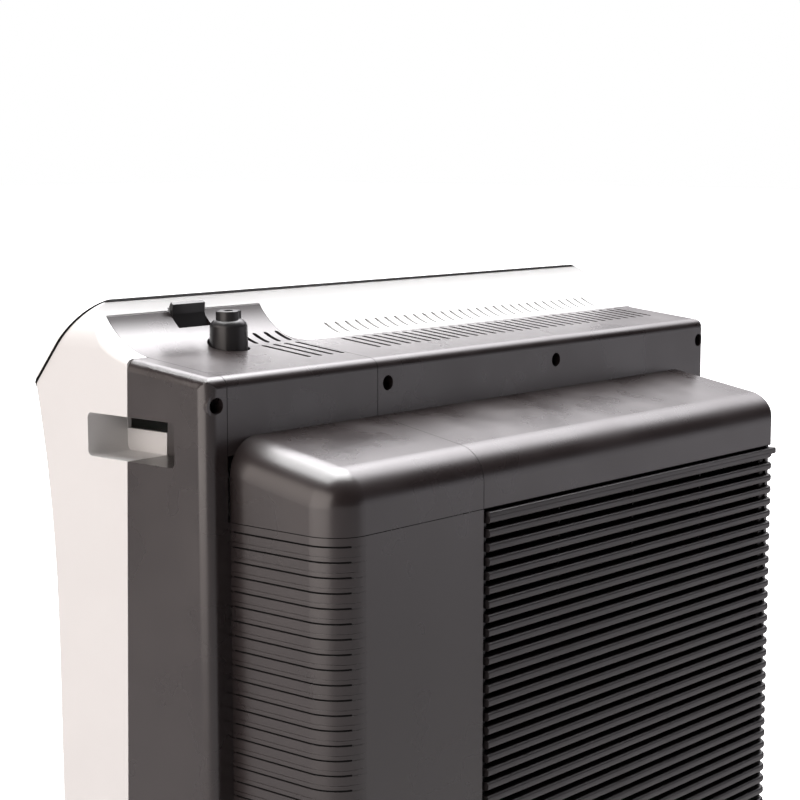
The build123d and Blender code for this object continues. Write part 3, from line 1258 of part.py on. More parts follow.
PIECES = {
    "control_fascia": make_control_fascia,
    "display_window": make_display_window,
    "fascia_gasket": make_fascia_gasket,
    "front_shell": make_front_shell,
    "display_board": make_display_board,
    "side_cover": make_side_cover,
    "rear_housing": make_rear_housing,
    "corner_panel": make_corner_panel,
    "catch": make_catch,
    "catch_pin": make_catch_pin,
    "rear_cap_corner": make_rear_cap_corner,
    "rear_cap_main": make_rear_cap_main,
    "ribbed_panel": make_ribbed_panel,
    "louvre_panel": make_louvre_panel,
    "intake_foam": make_intake_foam,
    "lower_rear_cover": make_lower_rear_cover,
    "cover_screws": make_cover_screws,
    "power_inlet": make_power_inlet,
    "switch_housing": make_switch_housing,
    "rocker_switch": make_rocker_switch,
    "rocker_pin": make_rocker_pin,
    "circuit_breaker": make_circuit_breaker,
    "flow_knob": make_flow_knob,
    "valve_stem": make_valve_stem,
    "flow_valve_body": make_flow_valve_body,
    "outlet_cup": make_outlet_cup,
    "oxygen_outlet": make_oxygen_outlet,
    "bacteria_filter": make_bacteria_filter,
    "base_plate": make_base_plate,
    "rubber_feet": make_rubber_feet,
    "foot_screws": make_foot_screws,
    "bulkhead": make_bulkhead,
    "compressor_tray": make_compressor_tray,
    "isolation_mounts": make_isolation_mounts,
    "compressor_crankcase": make_compressor_crankcase,
    "cylinder_sleeves": make_cylinder_sleeves,
    "cylinder_heads": make_cylinder_heads,
    "pistons": make_pistons,
    "motor_stator": make_motor_stator,
    "crankshaft": make_crankshaft,
    "compressor_fan": make_compressor_fan,
    "fan_frame": make_fan_frame,
    "fan_rotor": make_fan_rotor,
    "sieve_bed_a": lambda: make_sieve_bed(BED_SIDES[0]),
    "sieve_bed_b": lambda: make_sieve_bed(BED_SIDES[1]),
    "bed_end_caps": make_bed_end_caps,
    "valve_manifold": make_valve_manifold,
    "valve_solenoids": make_valve_solenoids,
    "product_tank": make_product_tank,
    "exhaust_muffler": make_exhaust_muffler,
    "intake_silencer": make_intake_silencer,
    "power_supply": make_power_supply,
    "control_board": make_control_board,
    "cooling_coil": make_cooling_coil,
    "product_hose": make_product_hose,
}

for name, make in PIECES.items():
    export_step(make(), f"parts/{name}.step")
for name in BUTTONS:
    export_step(make_button(name), f"parts/{name}.step")
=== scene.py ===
"""Finishes, fine detail and studio for an oxygen concentrator, built round its solid model."""
import math

import bmesh
import bpy
from bpy.props import FloatProperty, FloatVectorProperty, IntProperty, PointerProperty
from bpy.types import Operator, Panel, PropertyGroup
from mathutils import Matrix, Vector


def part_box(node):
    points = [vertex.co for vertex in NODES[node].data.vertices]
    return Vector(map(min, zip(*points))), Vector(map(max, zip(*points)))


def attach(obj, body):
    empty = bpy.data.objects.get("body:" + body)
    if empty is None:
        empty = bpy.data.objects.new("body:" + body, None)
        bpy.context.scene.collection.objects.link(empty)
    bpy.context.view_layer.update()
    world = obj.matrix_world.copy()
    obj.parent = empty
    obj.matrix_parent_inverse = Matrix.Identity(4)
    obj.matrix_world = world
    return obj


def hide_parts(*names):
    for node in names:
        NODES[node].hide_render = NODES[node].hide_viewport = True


bl_info = {
    "name": "Oxygen concentrator",
    "version": (1, 0, 0),
    "blender": (4, 5, 0),
    "location": "3D View > Sidebar > Concentrator",
    "description": "Finishes, louvre, screws, marks and studio for an oxygen concentrator",
    "category": "Object",
}

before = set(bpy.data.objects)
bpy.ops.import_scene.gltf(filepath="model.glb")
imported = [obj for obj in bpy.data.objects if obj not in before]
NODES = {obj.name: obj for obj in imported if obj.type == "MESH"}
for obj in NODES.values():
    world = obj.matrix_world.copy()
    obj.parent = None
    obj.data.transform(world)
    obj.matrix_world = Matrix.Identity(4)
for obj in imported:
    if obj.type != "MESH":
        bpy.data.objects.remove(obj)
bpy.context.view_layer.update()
MM = 0.001

# ------------------------------------------------------------------ places read from the model
LOUVRE_LOW, LOUVRE_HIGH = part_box("louvre_panel")
OUTLET_LOW, OUTLET_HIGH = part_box("oxygen_outlet")
INLET_LOW, INLET_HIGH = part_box("power_inlet")
SLANT = math.radians(49.8)
SLOPE_UP = Vector((0, math.cos(SLANT), math.sin(SLANT)))
SLOPE_OUT = Vector((0, -math.sin(SLANT), math.cos(SLANT)))
# the display's window lies from 0.1 mm to 2 mm under the fascia's face, midway up the slope
SLOPE_MID = sum(map(Vector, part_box("display_window")), Vector()) / 2 + 1.05 * MM * SLOPE_OUT
FRAME_INSET = 5.3 * MM          # louvre frame behind the slats' far ends
FRAME_BORDER = 5.0 * MM
# screw wells: millimetres from the near wells' outer edge, and down from the upper ones
WELLS = ((6.9, 0), (138.3, 0), (296.2, 0), (460.0, 0), (6.9, 241.8), (460.0, 241.8), (6.9, 511.8), (460.0, 511.8))
HEAD_R = 3.4 * MM
BARB_R, BARB_LEN = 3.2, 17.0
BOX_CORNER = 20.0 * MM          # upright near corner of the rear box
RIB_DROP = 4.4 * MM             # ribbed panel's top edge to its first groove
RIB_TURN = 62                   # degrees that a shadow line follows the box's round corner
BUTTON_PROUD = 1.0 * MM
FLANGE_LIP = 1.8 * MM
INLET_SCREW_INSET = 5.0 * MM    # inlet's end to its flange screw
INLET_SCREW_SINK = 1.75 * MM
BARB_FIRST, BARB_STEP, BARB_COUNT = 3.2, 4.0, 4
INK_HEIGHT = 0.08 * MM
STROKE_LIT = 1.7 * MM           # width of a display figure's stroke
FIGURE_STEP = 17 * MM
LAMP_R = 1.95 * MM
# lit panels of the surround: cosines across their edges, and sines of the elevations they fade in over
BACKDROP_EDGES, BACKDROP_RISE = (0.70, 0.88), (0.06, 0.24)
CROWN_EDGES, CROWN_RISE = (0.64, 0.86), (0.34, 0.62)
LIGHT_TARGET = (0.05, 0.05, 0.42)


def middle(low, high):
    return (low + high) / 2


# ------------------------------------------------------------------ settings
class FinishSettings(PropertyGroup):
    """Colours and grain of the mouldings."""

    cover_colour: FloatVectorProperty(
        name="Cover colour", description="Dark moulded covers", subtype="COLOR", size=3,
        default=(0.022, 0.0165, 0.0165), min=0, max=1)
    cover_roughness: FloatProperty(
        name="Cover roughness", description="Satin of the dark covers", default=0.29, min=0.05, max=1)
    shell_colour: FloatVectorProperty(
        name="Shell colour", description="White front shell", subtype="COLOR", size=3,
        default=(0.75, 0.75, 0.745), min=0, max=1)
    grain_size: FloatProperty(
        name="Grain size", description="Width of the spark-eroded grain", default=0.0006,
        min=0.0001, max=0.01, unit="LENGTH")
    edge_radius: FloatProperty(
        name="Edge radius", description="Rounding seen on the sharp edges", default=0.0002,
        min=0, max=0.003, unit="LENGTH")


class LouvreSettings(PropertyGroup):
    """Sizes of the lift-off rear grille."""

    pitch: FloatProperty(
        name="Pitch", description="Slat to slat", default=7.756 * MM, min=0.003, max=0.03, unit="LENGTH")
    count: IntProperty(name="Slats", description="How many slats", default=43, min=1, max=200)
    height: FloatProperty(
        name="Slat height", description="Height of a slat", default=4.75 * MM, min=0.001, max=0.02, unit="LENGTH")
    depth: FloatProperty(
        name="Slat depth", description="Depth behind its nose", default=6.0 * MM, min=0.001, max=0.03, unit="LENGTH")
    nose: FloatProperty(
        name="Nose rounding", description="Rounding of a slat's nose", default=1.75 * MM, min=0.0001, max=0.01,
        unit="LENGTH")
    corner: FloatProperty(
        name="Corner", description="Bend where a slat wraps the far edge", default=3.0 * MM, min=0.0001,
        max=0.02, unit="LENGTH")
    # joint: width of the open joints, and of the black strips of painted shade that fill them
    joint: FloatProperty(
        name="Joint", description="Width of the dark seals between mouldings", default=0.38 * MM, min=0.0001,
        max=0.002, unit="LENGTH")
    bead: FloatProperty(
        name="Bead", description="How far the fascia's joint stands proud", default=0.35 * MM, min=0, max=0.002,
        unit="LENGTH")
    rib_depth: FloatProperty(
        name="Rib depth", description="Depth of the ribbed panel's grooves", default=0.6 * MM, min=0.0001,
        max=0.003, unit="LENGTH")
    rib_line: FloatProperty(
        name="Rib line", description="Width of the shadow line in a groove", default=0.7 * MM, min=0.0001,
        max=0.003, unit="LENGTH")


class ScrewSettings(PropertyGroup):
    """Sizes of the cover screws."""

    head: FloatProperty(
        name="Head radius", description="Radius of a screw head", default=3.3 * MM, min=0.001, max=0.01,
        unit="LENGTH")
    dome: FloatProperty(
        name="Dome", description="Height of a screw head", default=2.2 * MM, min=0.0005, max=0.01, unit="LENGTH")
    recess: FloatProperty(
        name="Recess", description="Depth of the drive recess", default=1.3 * MM, min=0.0001, max=0.01,
        unit="LENGTH")


class MarkSettings(PropertyGroup):
    """Printed marks and lamps."""

    print_colour: FloatVectorProperty(
        name="Print colour", description="Pad-printed symbols", subtype="COLOR", size=3,
        default=(0.09, 0.10, 0.11), min=0, max=1)
    stroke: FloatProperty(
        name="Stroke", description="Width of a printed line", default=0.9 * MM, min=0.0001, max=0.005, unit="LENGTH")
    digit_height: FloatProperty(
        name="Digit height", description="Height of a display digit", default=15 * MM, min=0.002, max=0.05,
        unit="LENGTH")


class StudioSettings(PropertyGroup):
    """Light, floor and camera."""

    sky: FloatProperty(name="Surround", description="Brightness of the white surround", default=1.0, min=0, max=20)
    room: FloatProperty(name="Room", description="Light that comes from the dark side of the room", default=0.0,
                        min=0, max=20)
    backdrop: FloatProperty(name="Backdrop", description="Light that comes from the lit backdrop", default=0.9,
                            min=0, max=20)
    crown: FloatProperty(name="Crown", description="Further light from high on the backdrop", default=5.6,
                         min=0, max=40)
    backdrop_turn: FloatProperty(name="Backdrop turn", description="Heading of the backdrop's middle, degrees",
                                 default=238.0, min=0, max=360)
    crown_turn: FloatProperty(name="Crown turn", description="Heading of the higher light's middle, degrees",
                              default=208.0, min=0, max=360)
    side_power: FloatProperty(name="Side light", description="Warm soft light on the side face", default=42.0,
                              min=0, max=2000, unit="POWER")
    rear_power: FloatProperty(name="Rear light", description="Cool soft light on the rear face", default=3.6,
                              min=0, max=2000, unit="POWER")
    top_power: FloatProperty(name="Overhead light", description="Soft light from above", default=88.0, min=0,
                             max=2000, unit="POWER")
    floor_colour: FloatVectorProperty(
        name="Floor colour", description="Pale floor", subtype="COLOR", size=3, default=(0.93, 0.93, 0.93),
        min=0, max=1)
    lens: FloatProperty(name="Lens", description="Focal length", default=86.94, min=10, max=300, unit="CAMERA")
    camera_place: FloatVectorProperty(
        name="Camera place", description="Where the camera stands", subtype="TRANSLATION", size=3,
        default=(0.8986, 0.73015, 0.6997))
    camera_aim: FloatVectorProperty(
        name="Camera aim", description="Direction it looks in", subtype="DIRECTION", size=3,
        default=(-0.7520, -0.6466, -0.1280))


# ------------------------------------------------------------------ material helpers
def finish_maker(build):
    """A material function: give back the named material, or build it on a fresh tree."""
    def make(name, *values, **named):
        material = bpy.data.materials.get(name)
        if material is None:
            material = bpy.data.materials.new(name)
            material.use_nodes = True
            tree = material.node_tree
            build(tree, tree.nodes["Principled BSDF"], add(tree, "ShaderNodeTexCoord"), *values, **named)
        return material
    make.__doc__ = build.__doc__
    return make


def add(tree, kind, **values):
    """A new node; values are its properties, or its inputs by name."""
    return tune(tree.nodes.new(kind), **values)


def tune(node, **values):
    for key, value in values.items():
        if hasattr(node, key):
            setattr(node, key, value)
        else:
            node.inputs[key.replace("_", " ")].default_value = value
    return node


def noise(tree, place, scale, detail=2.0, rough=0.5):
    node = add(tree, "ShaderNodeTexNoise", Scale=scale, Detail=detail, Roughness=rough)
    tree.links.new(place.outputs["Object"], node.inputs["Vector"])
    return node


def relieve(tree, shader, height, distance, **values):
    """Bump the shader's surface by a grey value."""
    bump = add(tree, "ShaderNodeBump", Distance=distance, **values)
    tree.links.new(height, bump.inputs["Height"])
    tree.links.new(bump.outputs["Normal"], shader.inputs["Normal"])
    return bump


def spread(tree, source, low, high, low_in=0.3, high_in=0.7):
    """Map a grey value to a range."""
    node = add(tree, "ShaderNodeMapRange")
    for key, value in (("From Min", low_in), ("From Max", high_in), ("To Min", low), ("To Max", high)):
        node.inputs[key].default_value = value
    tree.links.new(source, node.inputs["Value"])
    return node.outputs["Result"]


def blend_colours(tree, factor, first, second):
    node = add(tree, "ShaderNodeMix", data_type="RGBA")
    node.inputs[6].default_value = (*first, 1)
    node.inputs[7].default_value = (*second, 1)
    tree.links.new(factor, node.inputs[0])
    return node.outputs[2]


def scaled(colour, factor):
    return tuple(min(1.0, channel * factor) for channel in colour)


@finish_maker
def moulded(tree, shader, place, colour, roughness, grain=0.0006, relief=0.00002, mottle=0.12, edge=0.0004,
            specular=0.5, metallic=0.0, spread_rough=0.05):
    """A moulded finish: fine grain, slow colour drift, a little change in gloss, softened edges."""
    drift = noise(tree, place, 22.0, 3.0, 0.55)
    grains = noise(tree, place, 1.0 / grain, 2.0, 0.6)
    factor = spread(tree, drift.outputs["Fac"], 0, 1)
    colour_out = blend_colours(tree, factor, scaled(colour, 1 - mottle), scaled(colour, 1 + mottle))
    tree.links.new(colour_out, shader.inputs["Base Color"])
    tree.links.new(spread(tree, drift.outputs["Fac"], roughness - spread_rough, roughness + spread_rough),
                   shader.inputs["Roughness"])
    tune(shader, Specular_IOR_Level=specular, Metallic=metallic)
    bump = relieve(tree, shader, grains.outputs["Fac"], relief, Strength=1.0)
    if edge:
        bevel = add(tree, "ShaderNodeBevel", samples=4, Radius=edge)
        tree.links.new(bevel.outputs["Normal"], bump.inputs["Normal"])


@finish_maker
def machined(tree, shader, place, colour, roughness, axis, lines=1400.0, relief=0.00001):
    """Metal with fine tool lines running round or along one axis."""
    stretch = add(tree, "ShaderNodeMapping", Scale=tuple(lines if i == axis else 18.0 for i in range(3)))
    tree.links.new(place.outputs["Object"], stretch.inputs["Vector"])
    tool = add(tree, "ShaderNodeTexNoise", Scale=1.0, Detail=3.0)
    tree.links.new(stretch.outputs["Vector"], tool.inputs["Vector"])
    drift = noise(tree, place, 60.0, 3.0)
    tree.links.new(blend_colours(tree, drift.outputs["Fac"], scaled(colour, 0.82), scaled(colour, 1.08)),
                   shader.inputs["Base Color"])
    tree.links.new(spread(tree, tool.outputs["Fac"], roughness - 0.08, roughness + 0.12), shader.inputs["Roughness"])
    tune(shader, Metallic=1.0)
    relieve(tree, shader, tool.outputs["Fac"], relief)


@finish_maker
def open_foam(tree, shader, place):
    """Black open-cell filter foam."""
    cells = add(tree, "ShaderNodeTexVoronoi", feature="DISTANCE_TO_EDGE", Scale=700.0)
    tree.links.new(place.outputs["Object"], cells.inputs["Vector"])
    wall = spread(tree, cells.outputs["Distance"], 0, 1, 0.0, 0.16)
    # the pore centres are painted darker than the cell walls: painted shade in the holes of the foam
    tree.links.new(blend_colours(tree, wall, (0.016, 0.015, 0.016), (0.002, 0.002, 0.002)),
                   shader.inputs["Base Color"])
    tune(shader, Roughness=0.95, Specular_IOR_Level=0.15)
    relieve(tree, shader, wall, 0.0006, invert=True)


@finish_maker
def circuit_board(tree, shader, place):
    """Green solder mask with copper tracks under it."""
    tracks = add(tree, "ShaderNodeTexBrick", Scale=160.0, Mortar_Size=0.06, Color1=(0.012, 0.10, 0.045, 1),
                 Color2=(0.016, 0.13, 0.055, 1), Mortar=(0.05, 0.22, 0.09, 1))
    tree.links.new(place.outputs["Object"], tracks.inputs["Vector"])
    tree.links.new(tracks.outputs["Color"], shader.inputs["Base Color"])
    tune(shader, Roughness=0.32)
    relieve(tree, shader, tracks.outputs["Fac"], 0.00005)


@finish_maker
def glass_black(tree, shader, place):
    """Smoked display window."""
    smear = noise(tree, place, 35.0, 4.0, 0.6)
    tree.links.new(spread(tree, smear.outputs["Fac"], 0.05, 0.13), shader.inputs["Roughness"])
    tree.links.new(blend_colours(tree, smear.outputs["Fac"], (0.005, 0.006, 0.008), (0.009, 0.010, 0.012)),
                   shader.inputs["Base Color"])
    tune(shader, Coat_Weight=0.6)


@finish_maker
def lamp(tree, shader, place, colour, strength):
    """A small lit lens."""
    cloud = noise(tree, place, 900.0, 1.0)
    tree.links.new(blend_colours(tree, cloud.outputs["Fac"], scaled(colour, 0.7), colour),
                   shader.inputs["Base Color"])
    tune(shader, Emission_Color=(*colour, 1), Emission_Strength=strength, Roughness=0.25)


def wear(node, material):
    """Give a model node its finish."""
    mesh = NODES[node].data
    mesh.materials.clear()
    mesh.materials.append(material)


# ------------------------------------------------------------------ finishes
def cover_finish(settings):
    return moulded("satin_cover", tuple(settings.cover_colour), settings.cover_roughness,
                   grain=settings.grain_size, edge=settings.edge_radius, specular=0.85)


def louvre_finish(settings):
    return moulded("louvre_satin", (0.019, 0.016, 0.017), 0.40, grain=settings.grain_size, edge=0.0003,
                   specular=0.7)


def knob_finish():
    return moulded("knob_satin", (0.018, 0.017, 0.018), 0.30, grain=0.0004, relief=0.00001, edge=0.0003)


def screw_finish():
    return moulded("screw_black", (0.030, 0.030, 0.032), 0.32, grain=0.0003, relief=0.000006, edge=0.0002,
                   metallic=0.7, spread_rough=0.08)


class CONCENTRATOR_OT_finishes(Operator):
    """Give every model node its moulded, cast, machined or foam finish"""

    bl_idname = "concentrator.finishes"
    bl_label = "Finishes"

    def execute(self, context):
        settings = context.scene.concentrator_finish
        shell = tuple(settings.shell_colour)
        grain, edge = settings.grain_size, settings.edge_radius
        covers = cover_finish(settings)
        white = moulded("shell_white", shell, 0.34, grain=grain, relief=0.000012, mottle=0.012, edge=edge)
        fascia = moulded("fascia_white", shell, 0.28, grain=grain, relief=0.00001, mottle=0.012, edge=edge)
        joint = moulded("joint_black", (0.008, 0.008, 0.008), 0.6, mottle=0.2, edge=0)
        button = moulded("button_grey", (0.42, 0.43, 0.44), 0.42, grain=0.0004, mottle=0.04, edge=edge)
        rocker = moulded("rocker_black", (0.012, 0.012, 0.013), 0.22, grain=0.001, relief=0.000006, edge=0.0004)
        knob = knob_finish()
        rubber = moulded("foot_rubber", (0.020, 0.019, 0.019), 0.78, grain=0.0009, relief=0.00008, mottle=0.25,
                         edge=edge, specular=0.3)
        plate = moulded("zinc_plate", (0.46, 0.46, 0.45), 0.38, grain=0.004, relief=0.00001, mottle=0.16, edge=edge,
                        metallic=1.0, spread_rough=0.1)
        alloy = moulded("cast_alloy", (0.52, 0.52, 0.52), 0.5, grain=0.0012, relief=0.00012, mottle=0.1, edge=edge,
                        metallic=1.0, spread_rough=0.08)
        inner = moulded("inner_moulding", (0.035, 0.035, 0.038), 0.5, grain=0.0008, edge=edge)
        filter_white = moulded("filter_white", (0.80, 0.80, 0.77), 0.5, mottle=0.03, edge=edge)
        silicone = moulded("hose_silicone", (0.70, 0.71, 0.68), 0.36, mottle=0.05, edge=0)
        turned_x = machined("turned_steel", (0.56, 0.56, 0.57), 0.26, 0)
        turned_z = machined("turned_stem", (0.56, 0.56, 0.57), 0.26, 2)
        brass = machined("machined_brass", (0.70, 0.50, 0.22), 0.28, 2)
        table = {
            covers: ("side_cover", "rear_housing", "corner_panel", "rear_cap_corner", "rear_cap_main",
                     "ribbed_panel", "lower_rear_cover"),
            white: ("front_shell", "outlet_cup"),
            fascia: ("control_fascia",),
            joint: ("fascia_gasket",),
            glass_black("display_glass"): ("display_window",),
            circuit_board("solder_mask"): ("display_board", "control_board"),
            button: ("power_button", "alarm_mute_button", "timer_down_button", "timer_up_button"),
            rocker: ("rocker_switch",),
            knob: ("flow_knob", "catch", "switch_housing", "power_inlet", "circuit_breaker", "oxygen_outlet",
                   "louvre_panel"),
            open_foam("filter_foam"): ("intake_foam",),
            rubber: ("rubber_feet", "isolation_mounts"),
            plate: ("base_plate", "bulkhead", "compressor_tray", "power_supply"),
            alloy: ("compressor_crankcase", "cylinder_heads", "cylinder_sleeves", "pistons", "motor_stator",
                    "valve_manifold", "bed_end_caps", "sieve_bed_a", "sieve_bed_b", "cooling_coil"),
            inner: ("compressor_fan", "fan_frame", "fan_rotor", "product_tank", "exhaust_muffler",
                    "valve_solenoids"),
            filter_white: ("bacteria_filter", "intake_silencer"),
            silicone: ("product_hose",),
            turned_x: ("catch_pin", "rocker_pin", "crankshaft", "cover_screws", "foot_screws"),
            turned_z: ("valve_stem",),
            brass: ("flow_valve_body",),
        }
        for material, nodes in table.items():
            for node in nodes:
                wear(node, material)
        bare = [node for node in NODES if not NODES[node].data.materials or
                NODES[node].data.materials[0] not in table]
        if bare:
            raise RuntimeError(f"no finish for {bare}")
        return {"FINISHED"}


# ------------------------------------------------------------------ mesh helpers
def new_piece(name, sheet, material):
    """A piece from a bmesh: doubles merged, faces outwards, smooth with its sharp edges kept."""
    mesh = bpy.data.meshes.new(name)
    sheet.to_mesh(mesh)
    sheet.free()
    return finished(name, mesh, material)


def finished(name, mesh, material):
    sheet = bmesh.new()
    sheet.from_mesh(mesh)
    bmesh.ops.remove_doubles(sheet, verts=sheet.verts, dist=1e-6)
    bmesh.ops.recalc_face_normals(sheet, faces=sheet.faces)
    sheet.to_mesh(mesh)
    sheet.free()
    mesh.shade_smooth()
    mesh.set_sharp_from_angle(angle=math.radians(32))
    mesh.materials.clear()
    mesh.materials.append(material)
    thing = bpy.data.objects.new(name, mesh)
    bpy.context.scene.collection.objects.link(thing)
    return thing


def bar(sheet, low, high, bevel=0.0):
    """A block between two corners, with its edges rounded."""
    low, high = Vector(low), Vector(high)
    place = Matrix.Translation((low + high) / 2) @ Matrix.Diagonal((*(high - low), 1))
    made = bmesh.ops.create_cube(sheet, size=1.0, matrix=place)
    if bevel:
        edges = {edge for vert in made["verts"] for edge in vert.link_edges}
        bmesh.ops.bevel(sheet, geom=list(edges), offset=bevel, segments=3, profile=0.5, affect="EDGES")


def turned(sheet, profile, place, steps=32):
    """A closed form turned round the local Z axis from (radius, height) points that start and end on it."""
    rings = []
    for radius, height in profile:
        if radius < 1e-7:
            rings.append([sheet.verts.new(place @ Vector((0, 0, height)))])
        else:
            rings.append([sheet.verts.new(place @ Vector((radius * math.cos(a), radius * math.sin(a), height)))
                          for a in (2 * math.pi * i / steps for i in range(steps))])
    for first, second in zip(rings, rings[1:]):
        for i in range(steps):
            j = (i + 1) % steps
            if len(first) == 1:
                sheet.faces.new((first[0], second[j], second[i]))
            elif len(second) == 1:
                sheet.faces.new((first[i], first[j], second[0]))
            else:
                sheet.faces.new((first[i], first[j], second[j], second[i]))


# ------------------------------------------------------------------ geometry node helpers
def new_tree(name, **inputs):
    """A geometry node tree with named inputs."""
    tree = bpy.data.node_groups.new(name, "GeometryNodeTree")
    tree.interface.new_socket("Geometry", in_out="INPUT", socket_type="NodeSocketGeometry")
    for label, kind in inputs.items():
        tree.interface.new_socket(label, in_out="INPUT", socket_type="NodeSocket" + kind)
    tree.interface.new_socket("Geometry", in_out="OUTPUT", socket_type="NodeSocketGeometry")
    return tree, tree.nodes.new("NodeGroupInput"), tree.nodes.new("NodeGroupOutput")


def combine(tree, **axes):
    node = tree.nodes.new("ShaderNodeCombineXYZ")
    for axis, source in axes.items():
        tree.links.new(source, node.inputs[axis])
    return node.outputs["Vector"]


def math_node(tree, operation, first, second):
    node = add(tree, "ShaderNodeMath", operation=operation)
    for socket, value in zip(node.inputs, (first, second)):
        if isinstance(value, (int, float)):
            socket.default_value = value
        else:
            tree.links.new(value, socket)
    return node.outputs[0]


def grow(name, base, tree, material, **values):
    """Run a tree on a base mesh and keep the result as a plain mesh piece."""
    seed = bpy.data.objects.new(name + "_base", base)
    bpy.context.scene.collection.objects.link(seed)
    step = seed.modifiers.new("build", "NODES")
    step.node_group = tree
    values["Material"] = material
    for item in tree.interface.items_tree:
        if item.in_out == "INPUT" and item.name in values:
            step[item.identifier] = values[item.name]
    graph = bpy.context.evaluated_depsgraph_get()
    mesh = bpy.data.meshes.new_from_object(seed.evaluated_get(graph))
    seed.modifiers.remove(step)
    bpy.data.objects.remove(seed)
    if not mesh.polygons:
        raise RuntimeError(f"{name} came out empty")
    mesh.name = name
    return finished(name, mesh, material)


def realised(tree, copies, entry, leave):
    """End a tree: its copies made real and given the material."""
    real = tree.nodes.new("GeometryNodeRealizeInstances")
    paint = tree.nodes.new("GeometryNodeSetMaterial")
    for source, target in ((copies.outputs["Instances"], real.inputs["Geometry"]),
                           (real.outputs["Geometry"], paint.inputs["Geometry"]),
                           (entry.outputs["Material"], paint.inputs["Material"]),
                           (paint.outputs["Geometry"], leave.inputs["Geometry"])):
        tree.links.new(source, target)
    return tree


def points_mesh(name, points, edges=()):
    mesh = bpy.data.meshes.new(name)
    mesh.from_pydata([tuple(point) for point in points], list(edges), [])
    return mesh


# ------------------------------------------------------------------ louvre
def slat_tree():
    """Slats swept along one path and stacked downwards at a pitch."""
    tree, entry, leave = new_tree("louvre_slats", Pitch="Float", Count="Int", Height="Float", Depth="Float",
                                  Nose="Float", Corner="Float", Material="Material")
    new, link = tree.nodes.new, tree.links.new
    path = new("GeometryNodeMeshToCurve")
    link(entry.outputs["Geometry"], path.inputs["Mesh"])
    bend = add(tree, "GeometryNodeFilletCurve", mode="POLY")
    bend.inputs["Count"].default_value = 6
    link(path.outputs["Curve"], bend.inputs["Curve"])
    link(entry.outputs["Corner"], bend.inputs["Radius"])

    section = add(tree, "GeometryNodeCurvePrimitiveQuadrilateral", mode="RECTANGLE")
    link(entry.outputs["Depth"], section.inputs["Width"])
    link(entry.outputs["Height"], section.inputs["Height"])
    soften = add(tree, "GeometryNodeFilletCurve", mode="POLY")
    soften.inputs["Count"].default_value = 5
    link(section.outputs["Curve"], soften.inputs["Curve"])
    link(entry.outputs["Nose"], soften.inputs["Radius"])
    shift = new("GeometryNodeTransform")
    link(soften.outputs["Curve"], shift.inputs["Geometry"])
    link(combine(tree, X=math_node(tree, "MULTIPLY", entry.outputs["Depth"], 0.5)), shift.inputs["Translation"])

    sweep = new("GeometryNodeCurveToMesh")
    sweep.inputs["Fill Caps"].default_value = True
    link(bend.outputs["Curve"], sweep.inputs["Curve"])
    link(shift.outputs["Geometry"], sweep.inputs["Profile Curve"])

    stack = add(tree, "GeometryNodeMeshLine", mode="OFFSET")
    link(entry.outputs["Count"], stack.inputs["Count"])
    link(combine(tree, Z=math_node(tree, "MULTIPLY", entry.outputs["Pitch"], -1.0)), stack.inputs["Offset"])
    copies = new("GeometryNodeInstanceOnPoints")
    link(stack.outputs["Mesh"], copies.inputs["Points"])
    link(sweep.outputs["Mesh"], copies.inputs["Instance"])
    return realised(tree, copies, entry, leave)


class CONCENTRATOR_OT_louvre(Operator):
    """Stack the louvre's slats and set them in their frame"""

    bl_idname = "concentrator.louvre"
    bl_label = "Louvre"

    def execute(self, context):
        settings = context.scene.concentrator_louvre
        finish = louvre_finish(context.scene.concentrator_finish)
        nose_y, near_x, far_x = LOUVRE_HIGH.y, LOUVRE_HIGH.x, LOUVRE_LOW.x
        frame_x = far_x + FRAME_INSET
        first_z = LOUVRE_HIGH.z - settings.pitch / 2
        depth, pitch = settings.depth, settings.pitch

        # noses: along the rear face, round the far corner and back to the box wall
        path = points_mesh("slat_path", [
            (near_x, nose_y - depth, first_z), (far_x + depth, nose_y - depth, first_z),
            (far_x + depth, nose_y - depth - settings.corner, first_z)], [(0, 1), (1, 2)])
        slats = grow("louvre_slats", path, slat_tree(), finish, Pitch=pitch, Count=settings.count,
                     Height=settings.height, Depth=depth, Nose=settings.nose, Corner=settings.corner * 0.9)
        # blades: the thinner part of each slat behind its nose, inside the frame
        reach = nose_y - LOUVRE_LOW.y - depth + settings.nose
        path = points_mesh("blade_path", [
            (near_x - 1 * MM, LOUVRE_LOW.y, first_z), (frame_x + 1 * MM, LOUVRE_LOW.y, first_z)], [(0, 1)])
        blades = grow("louvre_blades", path, slat_tree(), finish, Pitch=pitch, Count=settings.count,
                      Height=settings.height * 0.62, Depth=reach, Nose=0.3 * MM, Corner=0.0)

        sheet = bmesh.new()
        low_z, high_z, back = LOUVRE_LOW.z, LOUVRE_HIGH.z, LOUVRE_LOW.y
        front = nose_y - settings.depth - 0.3 * MM
        bar(sheet, (near_x - FRAME_BORDER, back, low_z), (near_x, front, high_z), 0.4 * MM)
        bar(sheet, (frame_x, back, low_z), (frame_x + FRAME_BORDER, front, high_z), 0.4 * MM)
        bar(sheet, (frame_x, back, low_z), (near_x, front, low_z + FRAME_BORDER), 0.4 * MM)
        bar(sheet, (frame_x, back, high_z - 3 * MM), (near_x, front, high_z), 0.4 * MM)
        for i in (1, 2, 3):
            x = frame_x + (near_x - frame_x) * i / 4
            bar(sheet, (x, back, low_z + 4 * MM), (x + 1.4 * MM, back + 1.2 * MM, high_z - 2 * MM), 0.2 * MM)
        frame = new_piece("louvre_frame", sheet, finish)
        # the top slat is one with the rail over it
        sheet = bmesh.new()
        bar(sheet, (far_x + 0.2 * MM, front - 0.5 * MM, first_z), (near_x, nose_y - 0.15 * MM, high_z), 0.7 * MM)
        rail = new_piece("louvre_top_rail", sheet, finish)
        for piece in (slats, blades, frame, rail):
            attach(piece, "louvre")
            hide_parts("louvre_panel")
        return {"FINISHED"}


